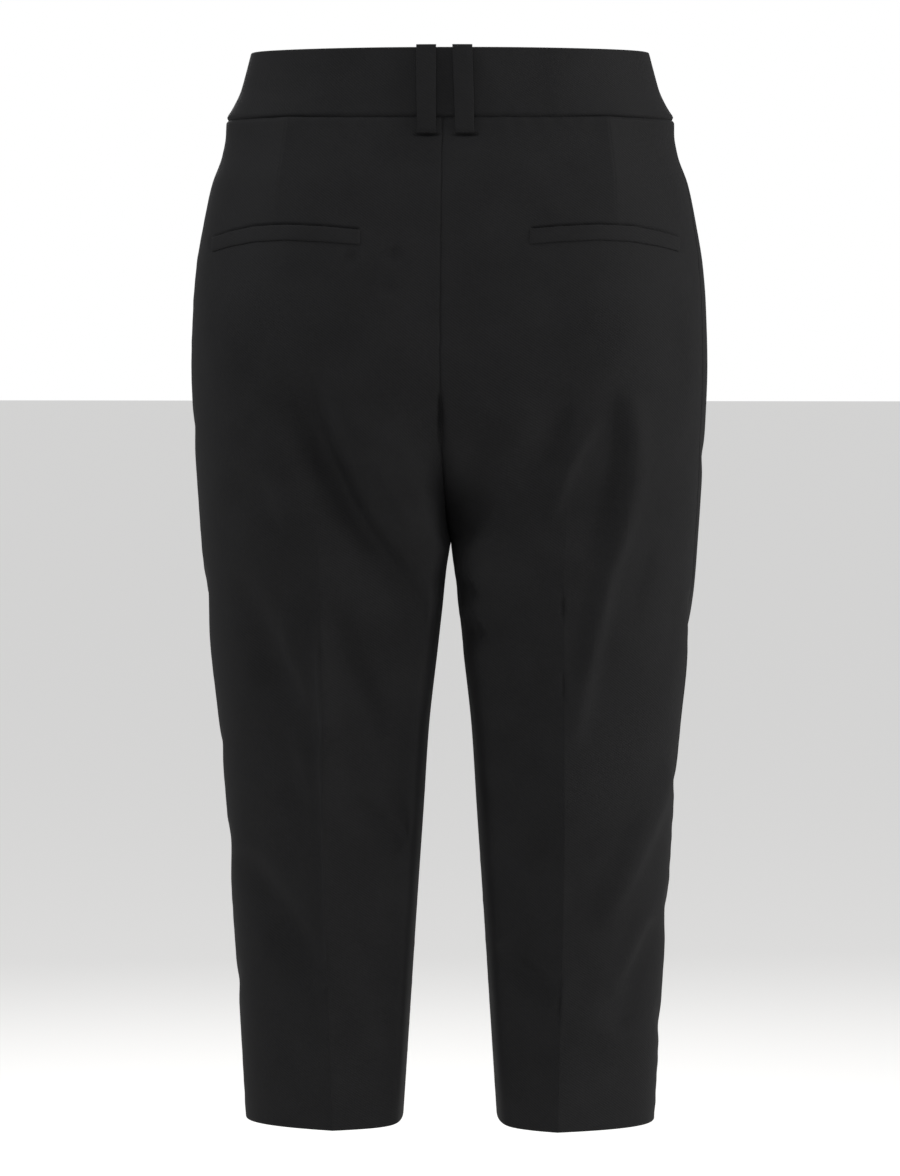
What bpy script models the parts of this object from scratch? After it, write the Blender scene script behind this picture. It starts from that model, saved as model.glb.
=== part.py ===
"""Capri trousers in smooth suiting, in the hollow form that they have when worn.

Metres, +Z up, front towards -Y, the wearer's left at +X, origin at the centre of the waist.

Every cloth piece is cut from one half section of the garment. Its rib leaves the centre back (on a
leg, the inseam), passes the back crease, the side and the front crease, and ends at the centre front.
A place on the cloth is (level, girth). Level is the rib's height at the side. Girth counts the rib's
four stretches: 0 at the back edge, 1 back crease, 2 side, 3 front crease, 4 at the front edge.
"""

from collections import namedtuple

import bpy
import numpy as np

# Waistband and lengths
BAND_TOP = 0.0235
BAND_FOOT = -0.0235
FORK = -0.317
HEM = -0.7225
INSEAM_FOOT = -0.7185

# Cloth
PANEL_CLOTH = 0.0016
BAND_CLOTH = 0.0024
WELT_CLOTH = 0.0012
LOOP_CLOTH = 0.0016
SEAM_GAP = 0.0003

# Each half's side of the centre line, and how much of the table's shift its side seam takes
SIDES = {"left": 1, "right": -1}
SEAM_SHARE = {"left": 0.2, "right": 1.0}

# Grids
OUTER_COLUMNS = 6
INNER_COLUMNS = 10
HIP_ROWS = 18
LEG_ROWS = 22
BAND_ROWS = 4
BAND_COLUMNS = 14

# How far a rib's handles reach, as a share of the straight line between two of its knots
HANDLE = 0.39
PLAIN_CUBIC = 3.0
GIRTH_STEP = 0.01
LEVEL_STEP = 0.0005
INVERSE_SAMPLES = 81
SHARP_ANGLE = np.radians(22)

# The half section at each level. Lean and press are in degrees: lean is how far the cloth has already
# turned towards the side at a crease, and press is how sharply the pressed crease stands out.
Section = namedtuple(
    "Section",
    "level side_x side_y inner_x crease_x back_y front_y "
    "lean_back lean_front press_back press_front seam_shift",
)
SECTIONS = [
    Section(0.0235, 0.1384, 0.000, 0.0000, 0.070, 0.0800, -0.0810, 21, 21, 0, 0, 0.02),
    Section(0.0070, 0.1425, 0.000, 0.0000, 0.072, 0.0810, -0.0825, 21, 21, 0, 0, 0.02),
    Section(-0.0040, 0.1457, 0.000, 0.0000, 0.074, 0.0820, -0.0840, 21, 21, 0, 1, 0.02),
    Section(-0.0150, 0.1511, 0.001, 0.0000, 0.076, 0.0835, -0.0865, 20, 20, 0, 2, 0.03),
    Section(-0.0235, 0.1558, 0.001, 0.0000, 0.078, 0.0850, -0.0885, 20, 20, 0, 3, 0.04),
    Section(-0.0330, 0.1560, 0.002, 0.0000, 0.079, 0.0870, -0.0900, 19, 19, 0, 3, 0.05),
    Section(-0.0475, 0.1584, 0.002, 0.0000, 0.081, 0.0905, -0.0925, 18, 18, 0, 4, 0.07),
    Section(-0.0685, 0.1658, 0.003, 0.0000, 0.084, 0.0975, -0.0960, 16, 16, 0, 4, 0.10),
    Section(-0.0965, 0.1716, 0.005, 0.0000, 0.086, 0.1070, -0.0990, 13, 15, 0, 5, 0.13),
    Section(-0.1245, 0.1762, 0.007, 0.0000, 0.088, 0.1145, -0.1000, 11, 14, 0, 5, 0.16),
    Section(-0.1520, 0.1784, 0.008, 0.0000, 0.089, 0.1195, -0.1000, 9, 13, 0, 5, 0.17),
    Section(-0.1940, 0.1796, 0.010, 0.0000, 0.089, 0.1235, -0.0990, 7, 11, 1, 6, 0.18),
    Section(-0.2360, 0.1781, 0.010, 0.0000, 0.087, 0.1225, -0.0970, 5, 7, 1, 7, 0.17),
    Section(-0.2920, 0.1748, 0.009, 0.0000, 0.085, 0.1150, -0.0935, 2, 3, 3, 9, 0.14),
    Section(-0.3170, 0.1731, 0.009, 0.0003, 0.084, 0.1120, -0.0925, 1, 1, 5, 10, 0.13),
    Section(-0.3360, 0.1718, 0.008, 0.0027, 0.083, 0.1080, -0.0910, 0, 0, 9, 12, 0.12),
    Section(-0.3900, 0.1675, 0.006, 0.0088, 0.083, 0.0990, -0.0860, 0, 0, 15, 14, 0.09),
    Section(-0.4460, 0.1614, 0.005, 0.0150, 0.083, 0.0910, -0.0800, 0, 0, 18, 16, 0.06),
    Section(-0.5025, 0.1567, 0.004, 0.0186, 0.083, 0.0845, -0.0750, 0, 0, 19, 17, 0.03),
    Section(-0.5725, 0.1527, 0.003, 0.0233, 0.082, 0.0780, -0.0700, 0, 0, 19, 17, 0.01),
    Section(-0.6425, 0.1482, 0.002, 0.0277, 0.080, 0.0720, -0.0650, 0, 0, 19, 17, 0.00),
    Section(-0.7225, 0.1438, 0.002, 0.0328, 0.078, 0.0660, -0.0600, 0, 0, 19, 17, 0.00),
]

# The rib's two ends: down the centre seam, under the seat to the fork, then down the inseam.
# Turn is how far the rib's end has swung, in degrees, from straight across (0) to along Y (90). Reach is
# its handle there, as a share of the straight line to the crease. Hug is how closely the rib keeps to its
# handles: 3 is a plain cubic, and a larger one turns the inner thigh's corner in less cloth.
Edge = namedtuple("Edge", "level y z turn reach hug")
BACK_SEAM = [
    Edge(0.0235, 0.0930, 0.0235, 0, 0.39, 3.0),
    Edge(-0.0235, 0.0980, -0.0235, 0, 0.39, 3.0),
    Edge(-0.0685, 0.1090, -0.0685, 0, 0.39, 3.0),
    Edge(-0.1100, 0.1180, -0.1100, 0, 0.39, 3.0),
    Edge(-0.1520, 0.1240, -0.1520, 0, 0.39, 3.0),
]
# The left inner thigh stands square behind and hides its own inner side; the right one slopes in.
BACK_EDGE = {
    "left": BACK_SEAM + [
        Edge(-0.1850, 0.1260, -0.1890, 2, 0.39, 3.0),
        Edge(-0.2190, 0.1190, -0.2290, 14, 0.30, 3.2),
        Edge(-0.2450, 0.1000, -0.2600, 66, 0.27, 6.0),
        Edge(-0.2700, 0.0660, -0.2880, 90, 0.47, 10.0),
        Edge(-0.2940, 0.0280, -0.3070, 93, 0.66, 12.0),
        Edge(FORK, -0.0050, FORK, 94, 0.74, 12.0),
        Edge(-0.3360, -0.0048, -0.3360, 93, 0.73, 10.0),
        Edge(-0.3620, -0.0045, -0.3620, 94, 0.71, 6.5),
        Edge(-0.4460, -0.0035, -0.4460, 94, 0.67, 6.0),
        Edge(HEM, 0.0000, INSEAM_FOOT, 94, 0.63, 5.0),
    ],
    "right": BACK_SEAM + [
        Edge(-0.1850, 0.1260, -0.1890, 6, 0.39, 3.0),
        Edge(-0.2190, 0.1190, -0.2290, 28, 0.36, 3.0),
        Edge(-0.2450, 0.1000, -0.2600, 55, 0.32, 3.0),
        Edge(-0.2700, 0.0660, -0.2880, 69, 0.42, 3.4),
        Edge(-0.2940, 0.0280, -0.3070, 80, 0.57, 4.4),
        Edge(FORK, -0.0050, FORK, 86, 0.67, 5.6),
        Edge(-0.3360, -0.0048, -0.3360, 88, 0.66, 5.8),
        Edge(-0.3620, -0.0045, -0.3620, 88, 0.62, 5.5),
        Edge(-0.4460, -0.0035, -0.4460, 88, 0.60, 5.5),
        Edge(HEM, 0.0000, INSEAM_FOOT, 88, 0.56, 4.5),
    ],
}
FRONT_EDGE = [
    Edge(0.0235, -0.0945, 0.0235, 0, 0.39, 3.0),
    Edge(-0.0235, -0.1010, -0.0235, 0, 0.39, 3.0),
    Edge(-0.0965, -0.1085, -0.0965, 0, 0.39, 3.0),
    Edge(-0.1500, -0.1085, -0.1500, 0, 0.39, 3.0),
    Edge(-0.2150, -0.1020, -0.2250, 8, 0.38, 3.0),
    Edge(-0.2430, -0.0890, -0.2590, 24, 0.40, 3.0),
    Edge(-0.2670, -0.0660, -0.2860, 44, 0.44, 3.0),
    Edge(-0.2940, -0.0330, -0.3070, 60, 0.52, 3.0),
    Edge(FORK, -0.0050, FORK, 72, 0.58, 3.0),
    Edge(-0.3360, -0.0048, -0.3360, 84, 0.58, 3.0),
    Edge(-0.3620, -0.0045, -0.3620, 88, 0.56, 3.0),
    Edge(-0.4460, -0.0035, -0.4460, 88, 0.46, 3.0),
    Edge(HEM, 0.0000, INSEAM_FOOT, 88, 0.42, 3.0),
]

# The largest folds, as soft troughs (depth above zero) and ridges (below zero). Each runs from its top
# past its middle to its end. Across is x on the back and the front, and y on the side.
Fold = namedtuple(
    "Fold",
    "half face top_across top_z mid_across mid_z end_across end_z outer_width inner_width depth",
)
FOLDS = [
    Fold("left", "back", 0.083, -0.194, 0.061, -0.284, -0.006, -0.384, 0.015, 0.008, 0.0110),
    Fold("left", "back", 0.080, -0.200, 0.070, -0.243, 0.048, -0.292, 0.026, 0.009, 0.0050),
    Fold("left", "back", 0.074, -0.195, 0.046, -0.262, 0.008, -0.335, 0.012, 0.016, -0.0035),
    Fold("left", "back", 0.084, -0.352, 0.067, -0.390, 0.042, -0.448, 0.009, 0.012, 0.0042),
    Fold("left", "back", 0.149, -0.338, 0.128, -0.396, 0.092, -0.450, 0.016, 0.010, 0.0050),
    Fold("left", "back", 0.144, -0.525, 0.112, -0.580, 0.084, -0.615, 0.014, 0.009, 0.0048),
    Fold("left", "back", 0.076, -0.474, 0.048, -0.503, 0.024, -0.523, 0.013, 0.009, 0.0042),
    Fold("right", "back", -0.129, -0.215, -0.134, -0.268, -0.120, -0.330, 0.013, 0.009, -0.0045),
    Fold("right", "back", -0.134, -0.285, -0.113, -0.350, -0.090, -0.460, 0.010, 0.007, -0.0050),
    Fold("right", "back", -0.115, -0.205, -0.117, -0.252, -0.096, -0.325, 0.011, 0.024, 0.0050),
    Fold("right", "back", -0.086, -0.208, -0.073, -0.244, -0.052, -0.275, 0.010, 0.016, 0.0042),
    Fold("right", "back", -0.036, -0.228, -0.019, -0.262, -0.006, -0.305, 0.018, 0.014, 0.0050),
    Fold("right", "back", -0.002, -0.352, -0.014, -0.350, -0.032, -0.338, 0.007, 0.006, 0.0035),
    Fold("right", "back", 0.000, -0.386, -0.016, -0.378, -0.042, -0.360, 0.008, 0.006, 0.0040),
    Fold("right", "back", -0.158, -0.468, -0.136, -0.515, -0.107, -0.580, 0.013, 0.009, -0.0048),
    Fold("right", "back", -0.146, -0.577, -0.133, -0.618, -0.117, -0.656, 0.009, 0.014, 0.0045),
    Fold("right", "back", -0.036, -0.592, -0.055, -0.611, -0.078, -0.627, 0.010, 0.012, 0.0038),
    Fold("left", "front", 0.034, -0.262, 0.070, -0.284, 0.118, -0.292, 0.014, 0.012, 0.0040),
    Fold("left", "front", 0.026, -0.330, 0.048, -0.372, 0.074, -0.430, 0.012, 0.014, 0.0030),
    Fold("left", "front", 0.096, -0.520, 0.118, -0.540, 0.140, -0.545, 0.012, 0.013, 0.0028),
    Fold("right", "front", -0.034, -0.250, -0.066, -0.270, -0.112, -0.276, 0.014, 0.012, 0.0042),
    Fold("right", "front", -0.028, -0.322, -0.050, -0.356, -0.074, -0.402, 0.012, 0.014, 0.0030),
    Fold("right", "front", -0.094, -0.500, -0.116, -0.528, -0.138, -0.540, 0.012, 0.013, 0.0028),
    Fold("left", "side", 0.036, -0.330, 0.000, -0.372, -0.046, -0.400, 0.013, 0.013, 0.0024),
    Fold("left", "side", 0.026, -0.512, -0.010, -0.545, -0.044, -0.560, 0.012, 0.012, 0.0022),
    Fold("right", "side", 0.030, -0.345, -0.008, -0.392, -0.048, -0.425, 0.013, 0.013, 0.0024),
    Fold("right", "side", 0.022, -0.560, -0.014, -0.586, -0.046, -0.596, 0.012, 0.012, 0.0020),
]
FOLD_SAMPLES = 48
FOLD_FADE = 0.7
TINY = 1e-9

# Single welt of each back pocket, from its inner to its outer end. Its edges droop towards the side.
Welt = namedtuple("Welt", "across upper_z lower_z")
WELT_STATIONS = [
    Welt(0.058, -0.1005, -0.1105),
    Welt(0.080, -0.0985, -0.1088),
    Welt(0.106, -0.0972, -0.1075),
    Welt(0.128, -0.0982, -0.1085),
    Welt(0.146, -0.1015, -0.1115),
    Welt(0.160, -0.1055, -0.1150),
]
WELT_COLUMNS = 12

# Belt loops: a pair beside the centre back seam and one over each front crease
LOOP_WIDTH = 0.0135
LOOP_BACK_ACROSS = 0.0129
LOOP_FRONT_ACROSS = 0.072
LOOP_TOP = 0.0250
LOOP_FOOT = -0.0350
LOOP_BULGE = 0.0026
LOOP_ROUNDNESS = 0.6
LOOP_ROWS = 12

SUITING_BLACK = (0.0170, 0.0165, 0.0170)
SUITING_ROUGHNESS = 0.62


def slopes_of(levels, values):
    """Slopes of a smooth curve through the table that never swings past its values."""
    steps = np.diff(values) / np.diff(levels)
    slopes = np.zeros(len(values))
    slopes[0], slopes[-1] = steps[0], steps[-1]
    before, after = steps[:-1], steps[1:]
    same_way = before * after > 0
    slopes[1:-1][same_way] = (2 * before * after)[same_way] / (before + after)[same_way]
    return slopes


def read_column(table, column, level):
    """The named column of a table at any level, on a smooth curve through its rows."""
    rows = sorted(table, key=lambda row: row.level)
    levels = np.array([row.level for row in rows])
    values = np.array([getattr(row, column) for row in rows], float)
    slopes = slopes_of(levels, values)
    k = np.clip(np.searchsorted(levels, level) - 1, 0, len(levels) - 2)
    width = levels[k + 1] - levels[k]
    t = (level - levels[k]) / width
    start = (1 + 2 * t) * (1 - t) ** 2 * values[k] + t * (1 - t) ** 2 * width * slopes[k]
    end = t * t * (3 - 2 * t) * values[k + 1] + t * t * (t - 1) * width * slopes[k + 1]
    return start + end


def heading(degrees):
    """Level direction at this angle from +X, as points along the last axis."""
    angle = np.radians(degrees)
    return np.stack([np.cos(angle), np.sin(angle), np.zeros_like(angle)], axis=-1)


def rib_within(half, level, girth):
    """Points of the wearer's left half section, for girths of 0 to 4."""

    def column(name):
        return read_column(SECTIONS, name, level)

    def edge(table):
        inner = np.where(level > FORK, 0.0, column("inner_x"))
        return np.stack([inner, read_column(table, "y", level), read_column(table, "z", level)], axis=-1)

    knots = np.stack([
        edge(BACK_EDGE[half]),
        np.stack([column("crease_x"), column("back_y"), level], axis=-1),
        np.stack([column("side_x"), column("side_y"), level], axis=-1),
        np.stack([column("crease_x"), column("front_y"), level], axis=-1),
        edge(FRONT_EDGE),
    ])
    lean_back, press_back = column("lean_back"), column("press_back")
    lean_front, press_front = column("lean_front"), column("press_front")
    forward = np.full_like(level, -90.0)
    leaving = np.stack([
        heading(read_column(BACK_EDGE[half], "turn", level)),
        heading(-press_back - lean_back),
        heading(forward),
        heading(180 + lean_front - press_front),
    ])
    arriving = np.stack([
        heading(press_back - lean_back),
        heading(forward),
        heading(180 + lean_front + press_front),
        heading(180 - read_column(FRONT_EDGE, "turn", level)),
    ])
    stretch = np.clip(np.floor(girth), 0, 3).astype(int)[np.newaxis, ..., np.newaxis]
    t = girth[..., np.newaxis] - stretch[0]
    start = np.take_along_axis(knots, stretch, axis=0)[0]
    end = np.take_along_axis(knots, stretch + 1, axis=0)[0]
    span = np.linalg.norm(end - start, axis=-1, keepdims=True)
    is_first, is_last = stretch[0] == 0, stretch[0] == 3

    def at_ends(name, plain):
        tables = (BACK_EDGE[half], FRONT_EDGE)
        back, front = (read_column(table, name, level)[..., np.newaxis] for table in tables)
        return np.where(is_first, back, plain), np.where(is_last, front, plain)

    back_reach, front_reach = at_ends("reach", HANDLE)
    hug = np.maximum(*at_ends("hug", PLAIN_CUBIC))
    first = start + span * back_reach * np.take_along_axis(leaving, stretch, axis=0)[0]
    second = end - span * front_reach * np.take_along_axis(arriving, stretch, axis=0)[0]
    near_start, near_end = (1 - t) ** hug, t**hug
    between = (1 - near_start - near_end) * ((1 - t) * first + t * second)
    return near_start * start + between + near_end * end


def rib(half, level, girth):
    """The half section carried past its ends: over the centre line above the fork, round the leg below."""
    on_leg = level <= FORK
    before, after = girth < 0, girth > 4
    round_the_leg = girth + 4 * before - 4 * after
    over_the_centre = np.where(before, -girth, np.where(after, 8 - girth, girth))
    points = rib_within(half, level, np.where(on_leg, round_the_leg, over_the_centre))
    points[..., 0] *= np.where((before | after) & ~on_leg, -1, 1)
    return points


def outward(half, level, girth):
    """Unit normals of a surface of (level, girth), pointing away from the wearer."""
    along = rib(half, level + LEVEL_STEP, girth) - rib(half, level - LEVEL_STEP, girth)
    across = rib(half, level, girth + GIRTH_STEP) - rib(half, level, girth - GIRTH_STEP)
    normal = np.cross(along, across)
    return normal / np.linalg.norm(normal, axis=-1, keepdims=True)


def fold_path(fold):
    """Places along a fold's line, which passes through its middle point, and the share run at each."""
    share = np.linspace(0, 1, FOLD_SAMPLES)[:, np.newaxis]
    top = np.array([fold.top_across, fold.top_z])
    middle = np.array([fold.mid_across, fold.mid_z])
    end = np.array([fold.end_across, fold.end_z])
    handle = 2 * middle - (top + end) / 2
    return (1 - share) ** 2 * top + 2 * share * (1 - share) * handle + share**2 * end, share[:, 0]


def fold_depth(half, points, normals):
    """How far the folds press the cloth in: a soft bell across each line, fading at its ends."""
    facing = {"back": normals[..., 1], "front": -normals[..., 1], "side": normals[..., 0]}
    across = {"back": points[..., 0], "front": points[..., 0], "side": points[..., 1]}
    depth = np.zeros(points.shape[:-1])
    for fold in FOLDS:
        if fold.half != half:
            continue
        path, share = fold_path(fold)
        line = path * np.array([1 if fold.face == "side" else SIDES[half], 1])
        place, height = across[fold.face], points[..., 2]
        away = np.stack([place, height], axis=-1)
        nearest = np.hypot(away[..., :1] - line[:, 0], away[..., 1:] - line[:, 1]).argmin(axis=-1)
        run = np.gradient(line, axis=0)[nearest]
        away = away - line[nearest]
        along = (away * run).sum(axis=-1) / (run * run).sum(axis=-1)
        along = np.clip(along, -0.5, 0.5).clip(-nearest, FOLD_SAMPLES - 1 - nearest)
        fading = np.sin(np.pi * (share[nearest] + along / (FOLD_SAMPLES - 1))).clip(0) ** FOLD_FADE
        away = away - along[..., np.newaxis] * run
        gap = np.linalg.norm(away, axis=-1)
        # How far a point lies outwards of the line, from -1 to 1, sets which of the two widths it gets
        outwards = run[..., 0] * away[..., 1] - run[..., 1] * away[..., 0]
        outwards /= np.linalg.norm(run, axis=-1) * np.maximum(gap, TINY)
        width = (fold.outer_width * (1 + outwards) + fold.inner_width * (1 - outwards)) / 2
        bell = np.exp(-((gap / width) ** 2))
        depth += fold.depth * fading * bell * np.clip(facing[fold.face], 0, 1)
    return depth


def cloth(half, level, girth):
    """Outer points and normals of the creased cloth of one half, in the wearer's left half's place."""
    points = rib(half, level, girth)
    normals = outward(half, level, girth)
    return points - normals * fold_depth(half, points, normals)[..., np.newaxis], normals


def girth_at(half, level, across, front):
    """The girth at which a rib lies this far from the centre line, on its back or its front."""
    samples = np.linspace(0, 2, INVERSE_SAMPLES)
    girths = 4 - samples if front else samples
    reach = rib(half, np.full(INVERSE_SAMPLES, level), girths)[:, 0]
    return float(np.interp(across, reach, girths))


def gap_in_girth(half, level, girth):
    """Half a seam's gap, as a share of the stretch there."""
    two_steps = rib(half, level, girth + GIRTH_STEP) - rib(half, level, girth - GIRTH_STEP)
    return SEAM_GAP / 2 * 2 * GIRTH_STEP / np.linalg.norm(two_steps, axis=-1)


def suiting():
    """Black suiting, shared by every piece."""
    material = bpy.data.materials.new("suiting")
    material.use_nodes = True
    shader = material.node_tree.nodes["Principled BSDF"]
    shader.inputs["Base Color"].default_value = (*SUITING_BLACK, 1)
    shader.inputs["Roughness"].default_value = SUITING_ROUGHNESS
    return material


def add_wall(name, outer, inner, material):
    """One closed wall between two grids of points that face each other, in a node of its own."""
    rows, columns = outer.shape[:2]
    index = np.arange(rows * columns).reshape(rows, columns)
    inside = index + rows * columns

    def quads(a, b, c, d):
        return np.stack([a, b, c, d], axis=-1).reshape(-1, 4)

    faces = [
        quads(index[:-1, :-1], index[:-1, 1:], index[1:, 1:], index[1:, :-1]),
        quads(inside[:-1, :-1], inside[1:, :-1], inside[1:, 1:], inside[:-1, 1:]),
    ]
    rim = np.concatenate([index[0, :-1], index[:-1, -1], index[-1, :0:-1], index[:0:-1, 0]])
    back = rim + rows * columns
    faces.append(quads(rim, back, np.roll(back, -1), np.roll(rim, -1)))
    points = np.concatenate([outer.reshape(-1, 3), inner.reshape(-1, 3)])
    mesh = bpy.data.meshes.new(name)
    mesh.from_pydata(points.tolist(), [], np.concatenate(faces).tolist())
    mesh.materials.append(material)
    mesh.shade_smooth()
    mesh.set_sharp_from_angle(angle=SHARP_ANGLE)
    node = bpy.data.objects.new(name, mesh)
    bpy.context.scene.collection.objects.link(node)
    return node


def placed(half, points, clearance=SEAM_GAP / 2):
    """Moves a half's points clear of the centre line, and over to their own side."""
    return (points + np.array([clearance, 0, 0])) * np.array([SIDES[half], 1, 1])


def facing_out(half, *grids):
    """Turns the mirrored half's grids round, so that its walls face out too."""
    return [grid[:, ::-1] if half == "right" else grid for grid in grids]


def side_seam(half, level):
    """Girth of the side seam, which lies a little behind the side, most so on the wearer's right."""
    return 2 - SEAM_SHARE[half] * read_column(SECTIONS, "seam_shift", level)


def between(start, end, cells):
    """Rows of evenly spaced girths from one end to the other, without the end itself."""
    return start[:, np.newaxis] + np.linspace(0, 1, cells, endpoint=False) * (end - start)[:, np.newaxis]


def add_panel(half, front, material):
    """Back or front panel of one half, from the waistband's seam to the hem."""
    hip = np.linspace(BAND_FOOT - SEAM_GAP, FORK, HIP_ROWS, endpoint=False)
    levels = np.concatenate([hip, np.linspace(FORK, HEM, LEG_ROWS)])
    seam = side_seam(half, levels)
    crease = np.full_like(levels, 3.0 if front else 1.0)
    edge = np.full_like(levels, 4.0 if front else 0.0)
    inseam_gap = np.where(levels <= FORK, gap_in_girth(half, levels, edge), 0)
    if front:
        start, end = seam + gap_in_girth(half, levels, seam), edge - inseam_gap
    else:
        start, end = edge + inseam_gap, seam - gap_in_girth(half, levels, seam)
    cells = (OUTER_COLUMNS, INNER_COLUMNS) if front else (INNER_COLUMNS, OUTER_COLUMNS)
    columns = [between(start, crease, cells[0]), between(crease, end, cells[1])]
    girth = np.concatenate([*columns, end[:, np.newaxis]], axis=1)
    level = np.broadcast_to(levels[:, np.newaxis], girth.shape)
    outer, normals = cloth(half, level, girth)
    inner = outer - PANEL_CLOTH * normals
    outer, inner = facing_out(half, placed(half, outer), placed(half, inner))
    return add_wall(f"{'front' if front else 'back'}_{half}", outer, inner, material)


def band_wall(half, level, girth):
    """Outer and inner points of the waistband."""
    outer = rib(half, level, girth)
    return outer, outer - BAND_CLOTH * outward(half, level, girth)


def add_waistband_back(material):
    """Back of the waistband, in one piece from side seam to side seam."""
    levels = np.linspace(BAND_TOP, BAND_FOOT, BAND_ROWS + 1)
    centre = np.zeros_like(levels)
    walls = []
    for half in ("right", "left"):
        seam = side_seam(half, BAND_FOOT + centre)
        end = seam - gap_in_girth(half, levels, seam)
        girth = np.concatenate([between(centre, end, BAND_COLUMNS), end[:, np.newaxis]], axis=1)
        level = np.broadcast_to(levels[:, np.newaxis], girth.shape)
        walls.append([placed(half, grid, 0) for grid in band_wall(half, level, girth)])
    outer, inner = (np.concatenate([walls[0][k][:, :0:-1], walls[1][k]], axis=1) for k in (0, 1))
    return add_wall("waistband_back", outer, inner, material)


def add_waistband_front(half, material):
    """Front of the waistband on one half, from the side seam to the centre front."""
    levels = np.linspace(BAND_TOP, BAND_FOOT, BAND_ROWS + 1)
    seam = side_seam(half, np.full_like(levels, BAND_FOOT))
    centre = np.full_like(levels, 4.0)
    start = seam + gap_in_girth(half, levels, seam)
    girth = np.concatenate([between(start, centre, BAND_COLUMNS), centre[:, np.newaxis]], axis=1)
    level = np.broadcast_to(levels[:, np.newaxis], girth.shape)
    outer, inner = facing_out(half, *(placed(half, grid) for grid in band_wall(half, level, girth)))
    return add_wall(f"waistband_front_{half}", outer, inner, material)


def add_welt(half, material):
    """Welt that fills the slit of a back pocket, just proud of the panel."""
    place = np.linspace(0, 1, WELT_COLUMNS + 1)
    stations = np.linspace(0, 1, len(WELT_STATIONS))
    across = np.interp(place, stations, [row.across for row in WELT_STATIONS])
    upper = np.interp(place, stations, [row.upper_z for row in WELT_STATIONS])
    lower = np.interp(place, stations, [row.lower_z for row in WELT_STATIONS])
    level = np.stack([upper, (upper + lower) / 2, lower])
    girth = np.array([[girth_at(half, z, x, False) for z, x in zip(row, across)] for row in level])
    points, normals = cloth(half, level, girth)
    inner = points + SEAM_GAP * normals
    outer = inner + WELT_CLOTH * normals
    outer, inner = facing_out(half, placed(half, outer), placed(half, inner))
    return add_wall(f"welt_{half}", outer, inner, material)


def add_belt_loop(name, half, across, front, material):
    """Strap that stands off the waistband between its two sewn ends."""
    levels = np.linspace(LOOP_TOP, LOOP_FOOT, LOOP_ROWS + 1)
    sides = (across - LOOP_WIDTH / 2, across, across + LOOP_WIDTH / 2)
    level = np.repeat(levels[:, np.newaxis], len(sides), axis=1)
    girth = np.array([[girth_at(half, z, x, front) for x in sides] for z in levels])
    if front:
        level, girth = level[:, ::-1], girth[:, ::-1]
    points = rib(half, level, girth)
    normals = outward(half, level, girth)
    run = np.linspace(0, 1, LOOP_ROWS + 1)
    lift = SEAM_GAP + LOOP_BULGE * np.sin(np.pi * run).clip(0) ** LOOP_ROUNDNESS
    inner = points + lift[:, np.newaxis, np.newaxis] * normals
    outer = inner + LOOP_CLOTH * normals
    outer, inner = facing_out(half, placed(half, outer, 0), placed(half, inner, 0))
    return add_wall(name, outer, inner, material)


def main():
    for old in list(bpy.data.objects):
        bpy.data.objects.remove(old, do_unlink=True)
    material = suiting()
    add_waistband_back(material)
    for half in ("left", "right"):
        add_waistband_front(half, material)
        add_panel(half, False, material)
        add_panel(half, True, material)
        add_welt(half, material)
        add_belt_loop(f"belt_loop_back_{half}", half, LOOP_BACK_ACROSS, False, material)
        add_belt_loop(f"belt_loop_front_{half}", half, LOOP_FRONT_ACROSS, True, material)


main()
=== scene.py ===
"""Capri trousers in black worsted suiting, shown from behind, in the hollow form that they have when worn.

Metres, +Z up, front towards -Y, the wearer's left at +X, origin at the centre of the waist.

A place on the cloth is (level, girth). Level is the height of a rib at the wearer's side. Girth counts
the rib's four stretches: 0 at the centre back or the inseam, 1 at the back crease, 2 at the side, 3 at
the front crease and 4 at the centre front or the inseam again.

Every cloth piece is a flat tube: rows of points run round its thickness, down its outside, round its
folded edge and up its inside, and its columns run across it.
"""

import math
from collections import namedtuple

import bpy
import numpy as np
from bpy.props import FloatProperty, FloatVectorProperty, PointerProperty
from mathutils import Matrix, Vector


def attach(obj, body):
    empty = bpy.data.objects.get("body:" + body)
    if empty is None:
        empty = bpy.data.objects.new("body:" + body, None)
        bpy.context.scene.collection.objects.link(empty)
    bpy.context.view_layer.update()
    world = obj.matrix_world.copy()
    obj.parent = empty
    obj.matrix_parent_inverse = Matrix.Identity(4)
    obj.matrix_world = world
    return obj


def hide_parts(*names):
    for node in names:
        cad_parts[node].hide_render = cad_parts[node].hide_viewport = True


bl_info = {
    "name": "Capri trousers",
    "version": (1, 0, 0),
    "blender": (4, 5, 0),
    "location": "3D View > Sidebar > Capri trousers",
    "description": "Sews the cloth of a pair of tailored capri trousers on their rigid frame",
    "category": "Object",
}

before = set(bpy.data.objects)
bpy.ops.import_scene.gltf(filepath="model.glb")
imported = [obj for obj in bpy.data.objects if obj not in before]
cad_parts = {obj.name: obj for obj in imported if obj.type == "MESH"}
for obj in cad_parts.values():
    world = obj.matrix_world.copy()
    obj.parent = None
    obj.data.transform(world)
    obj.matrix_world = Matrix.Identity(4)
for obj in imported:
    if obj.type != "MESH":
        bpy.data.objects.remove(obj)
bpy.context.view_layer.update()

# Levels of the waistband, the fork, the hem and the inseam's foot
BAND_TOP = 0.0235
BAND_FOOT = -0.0235
FORK = -0.317
HEM = -0.7225
INSEAM_FOOT = -0.7185

# Each half's side of the centre line, and how much of the table's shift its side seam takes
SIDES = {"left": 1, "right": -1}
SEAM_SHARE = {"left": 0.2, "right": 1.0}

# How far a rib's handles reach between two of its knots, the steps that measure its slopes, and how often
# a range of girths is halved to find a place on it
HANDLE = 0.39
PLAIN_CUBIC = 3.0
GIRTH_STEP = 0.01
LEVEL_STEP = 0.0005
HALVINGS = 26

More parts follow.
